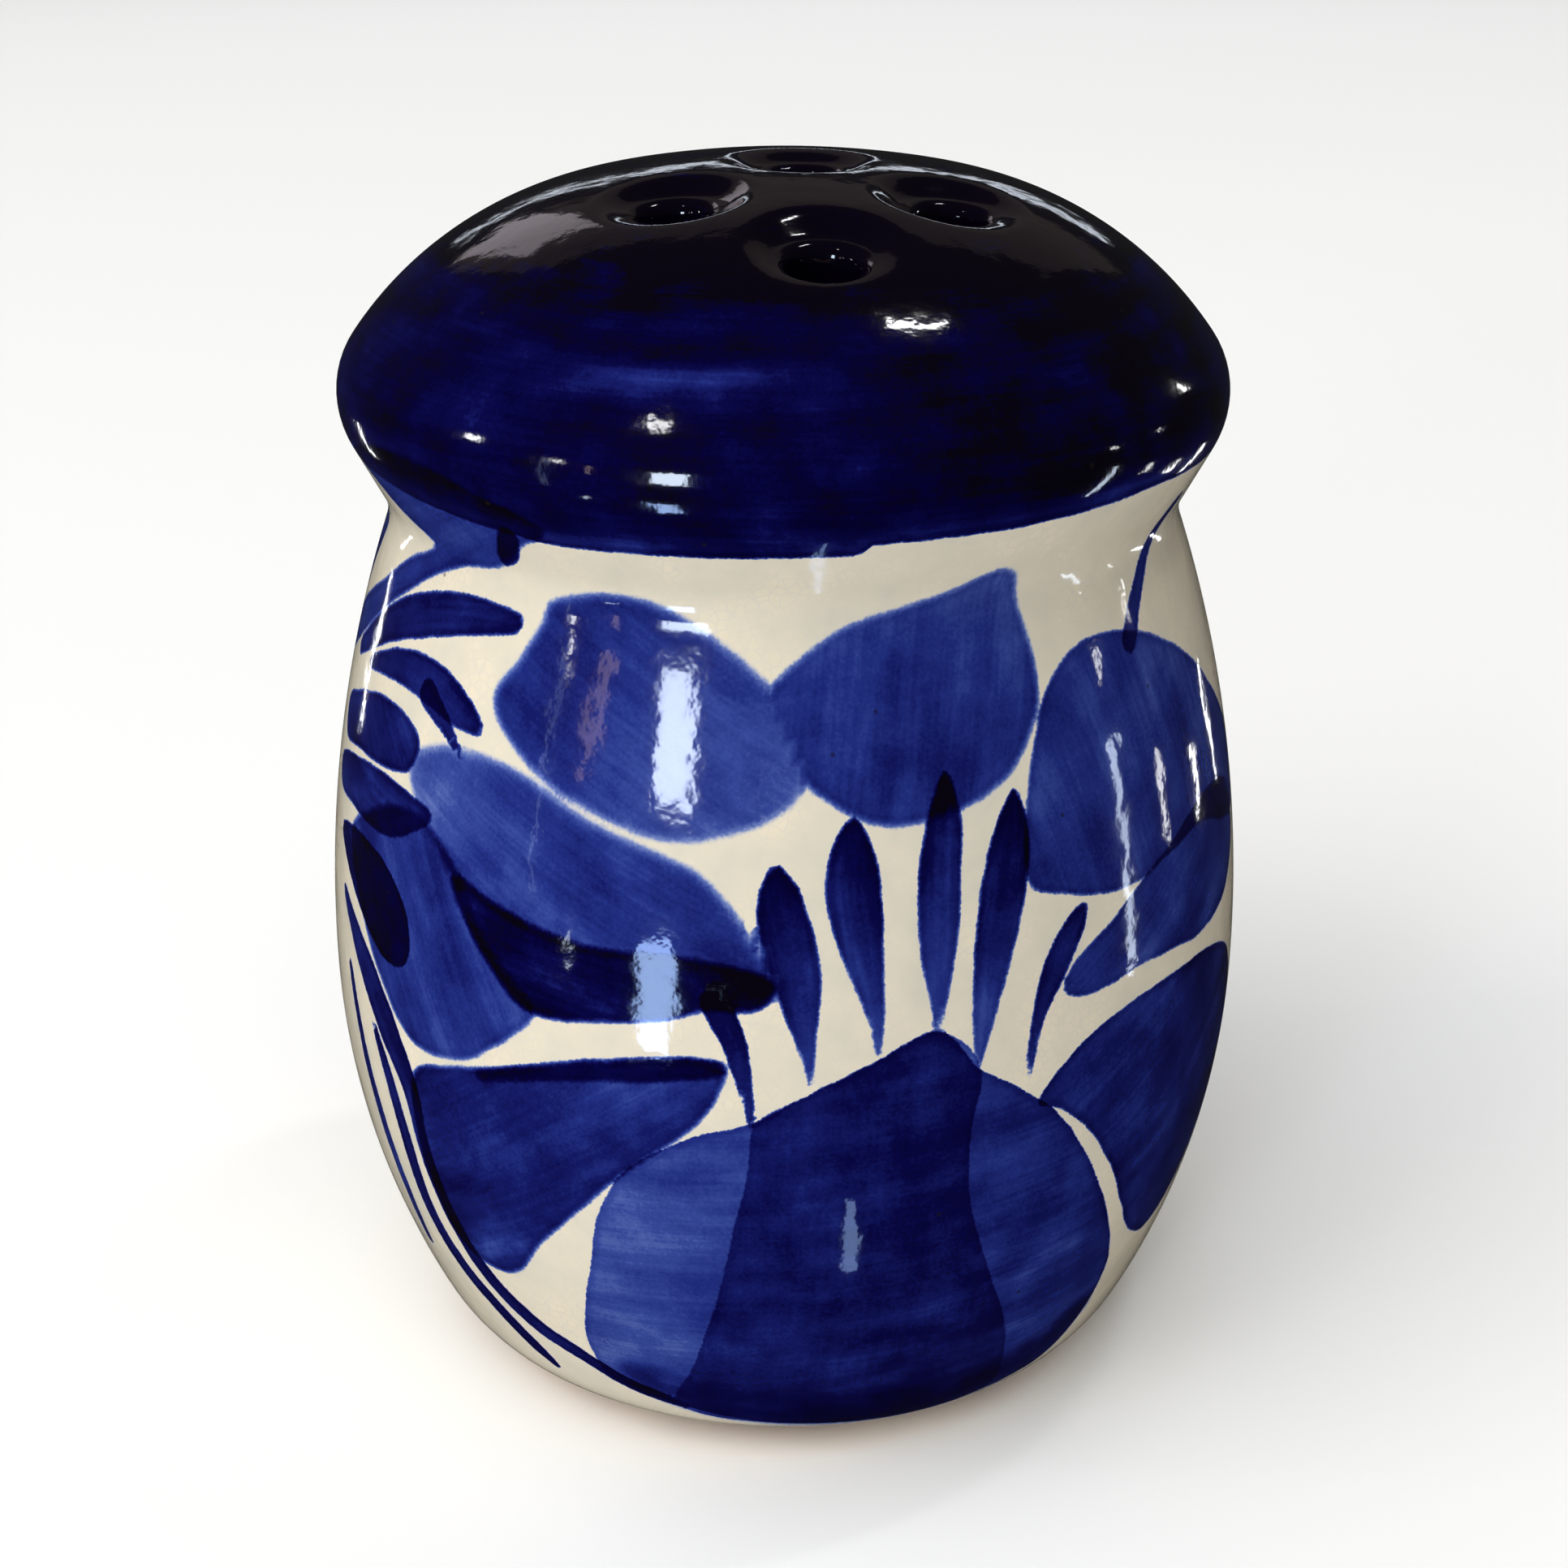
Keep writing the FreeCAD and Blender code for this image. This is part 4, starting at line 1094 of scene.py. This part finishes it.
LAMPS = [
    # name, degrees right of the front, degrees up, distance, width, height, radiance, tint, in
    # reflections
    ("key", -58, 38, 1.3, 0.80, 0.80, 2.2, "FFFBF2", False),
    ("window", -27, 8.5, 1.2, 0.19, 0.28, 24.0, "DCEBFF", True),
    ("window_post", -48, 8, 1.2, 0.045, 0.22, 5.0, "C0A6A4", True),
    ("window_edge", -57, 2, 0.30, 0.003, 0.12, 4.0, "B8CCFF", True),
    ("low_card", -27, -17.5, 0.21, 0.024, 0.036, 18.0, "A8C8FF", True),
    ("low_glint", -46, -14, 0.21, 0.005, 0.008, 12.0, "DCEBFF", True),
    ("flower_strip", 10.6, -43, 0.0797, 0.0022, 0.012, 5.0, "A8C8FF", True),
    ("top_lamp", 110, 69, 1.2, 0.045, 0.20, 40.0, "FFFFFF", True),
    ("left_top_lamp", -44, 55, 1.2, 0.06, 0.03, 30.0, "FFFFFF", True),
    ("left_lamp", -84, 16, 1.2, 0.05, 0.10, 30.0, "FFFFFF", True),
    ("left_front_lamp", -58, 12, 1.2, 0.03, 0.06, 25.0, "FFFFFF", True),
    ("left_edge", -121, -7, 0.137, 0.005, 0.03, 8.0, "FFFFFF", True),
    ("left_back_card", -156, 28, 1.2, 0.24, 0.30, 1.0, "F2E6F0", True),
    ("back_strip", 180, 13, 1.4, 1.10, 0.05, 2.0, "EAF2FF", True),
    ("back_card", 180, 34, 1.4, 1.60, 0.60, 0.09, "EAD8CC", True),
    ("right_far_glint", 88, 3, 1.2, 0.025, 0.05, 14.0, "FFFFFF", True),
    ("right_back_glint", 104, 3, 1.2, 0.02, 0.05, 14.0, "FFFFFF", True),
    ("right_streak", 79.8, -12.8, 0.153, 0.006, 0.056, 10.0, "DCEBFF", True),
    ("right_short_streak", 94.3, -11.1, 0.147, 0.004, 0.015, 9.0, "FFFFFF", True),
    ("right_dash", 110, -14.4, 0.143, 0.005, 0.012, 12.0, "FFFFFF", True),
    ("right_edge", 123, -13.2, 0.138, 0.004, 0.022, 10.0, "FFFFFF", True),
    ("right_lamp", 122, 16, 1.2, 0.05, 0.10, 20.0, "FFFFFF", True),
    ("under_card", 25, -62, 0.90, 0.50, 0.50, 6.0, "FFFBF2", False),
]


class SHAKER_OT_studio(bpy.types.Operator):
    """Pale floor, soft studio light and the camera"""
    bl_idname = "shaker.studio"
    bl_label = "Studio"

    def execute(self, context):
        studio = settings().studio
        mesh = bpy.data.meshes.new("floor")
        count = 96
        corners = [(reach * math.cos(2 * math.pi * k / count),
                    reach * math.sin(2 * math.pi * k / count), 0)
                   for reach in (studio.floor_opening, studio.floor_reach) for k in range(count)]
        faces = [(k, count + k, count + (k + 1) % count, (k + 1) % count) for k in range(count)]
        mesh.from_pydata(corners, [], faces)
        floor = bpy.data.objects.new("floor", mesh)
        context.scene.collection.objects.link(floor)
        made, tree, surface = material("pale_studio_floor")
        surface.inputs["Base Color"].default_value = linear(studio.floor_colour)
        surface.inputs["Roughness"].default_value = 0.9
        surface.inputs["Specular IOR Level"].default_value = 0.0
        mesh.materials.append(made)
        floor.visible_glossy = False
        world = bpy.data.worlds.new("soft_room")
        world.use_nodes = True
        room = world.node_tree
        sky = add(room, "TexCoord")
        rise = add(room, "SeparateXYZ", {0: sky}).node.outputs[2]
        glow = add(room, "MapRange", {0: rise, 1: -0.6, 2: 0.5, 3: 0.010, 4: 0.022})
        seen = add(room, "LightPath")
        glow = add(room, "Math", {0: seen, 1: 0.88, 2: glow}, operation="MULTIPLY_ADD")
        backdrop = room.nodes["Background"]
        room.links.new(glow, backdrop.inputs["Strength"])
        backdrop.inputs["Color"].default_value = (1.0, 0.99, 0.97, 1.0)
        context.scene.world = world
        for values in LAMPS:
            lamp(*values)
        data = bpy.data.lights.new("fill", "SUN")
        data.energy = 2.45
        data.angle = math.radians(80)
        fill = bpy.data.objects.new("fill", data)
        fill.rotation_euler = (math.radians(20), math.radians(-14), 0)
        fill.visible_glossy = False
        context.scene.collection.objects.link(fill)
        data = bpy.data.cameras.new("camera")
        data.lens = studio.lens
        data.sensor_width = 36.0
        data.clip_start = 0.01
        camera = bpy.data.objects.new("camera", data)
        camera.location = (0, -studio.camera_distance, studio.camera_height)
        aim = Vector((0, 0, studio.aim_height)) - camera.location
        camera.rotation_euler = aim.to_track_quat("-Z", "Y").to_euler()
        context.scene.collection.objects.link(camera)
        context.scene.camera = camera
        context.scene.view_settings.view_transform = "Standard"
        return {"FINISHED"}


class ShakerSettings(bpy.types.PropertyGroup):
    """Everything a user would change."""
    vessel: bpy.props.PointerProperty(type=VesselSizes)
    glaze_paint: bpy.props.PointerProperty(type=GlazePaint)
    plug: bpy.props.PointerProperty(type=PlugSizes)
    studio: bpy.props.PointerProperty(type=StudioSizes)


class SHAKER_PT_panel(bpy.types.Panel):
    """Lists the shaker's pieces in the sidebar"""
    bl_label = "Painted shaker"
    bl_idname = "SHAKER_PT_panel"
    bl_space_type = "VIEW_3D"
    bl_region_type = "UI"
    bl_category = "Shaker"

    def draw(self, context):
        for operator in ("shaker.studio", "shaker.clay", "shaker.glaze", "shaker.plug"):
            self.layout.operator(operator)


CLASSES = (VesselSizes, GlazePaint, PlugSizes, StudioSizes, ShakerSettings, SHAKER_OT_studio,
           SHAKER_OT_clay, SHAKER_OT_glaze, SHAKER_OT_plug, SHAKER_PT_panel)


def register():
    for item in CLASSES:
        bpy.utils.register_class(item)
    bpy.types.Scene.painted_shaker = bpy.props.PointerProperty(type=ShakerSettings)


def unregister():
    del bpy.types.Scene.painted_shaker
    for item in reversed(CLASSES):
        bpy.utils.unregister_class(item)


def main():
    register()
    bpy.ops.shaker.studio()
    bpy.ops.shaker.clay()
    bpy.ops.shaker.glaze()
    bpy.ops.shaker.plug()


if __name__ == "__main__":
    main()
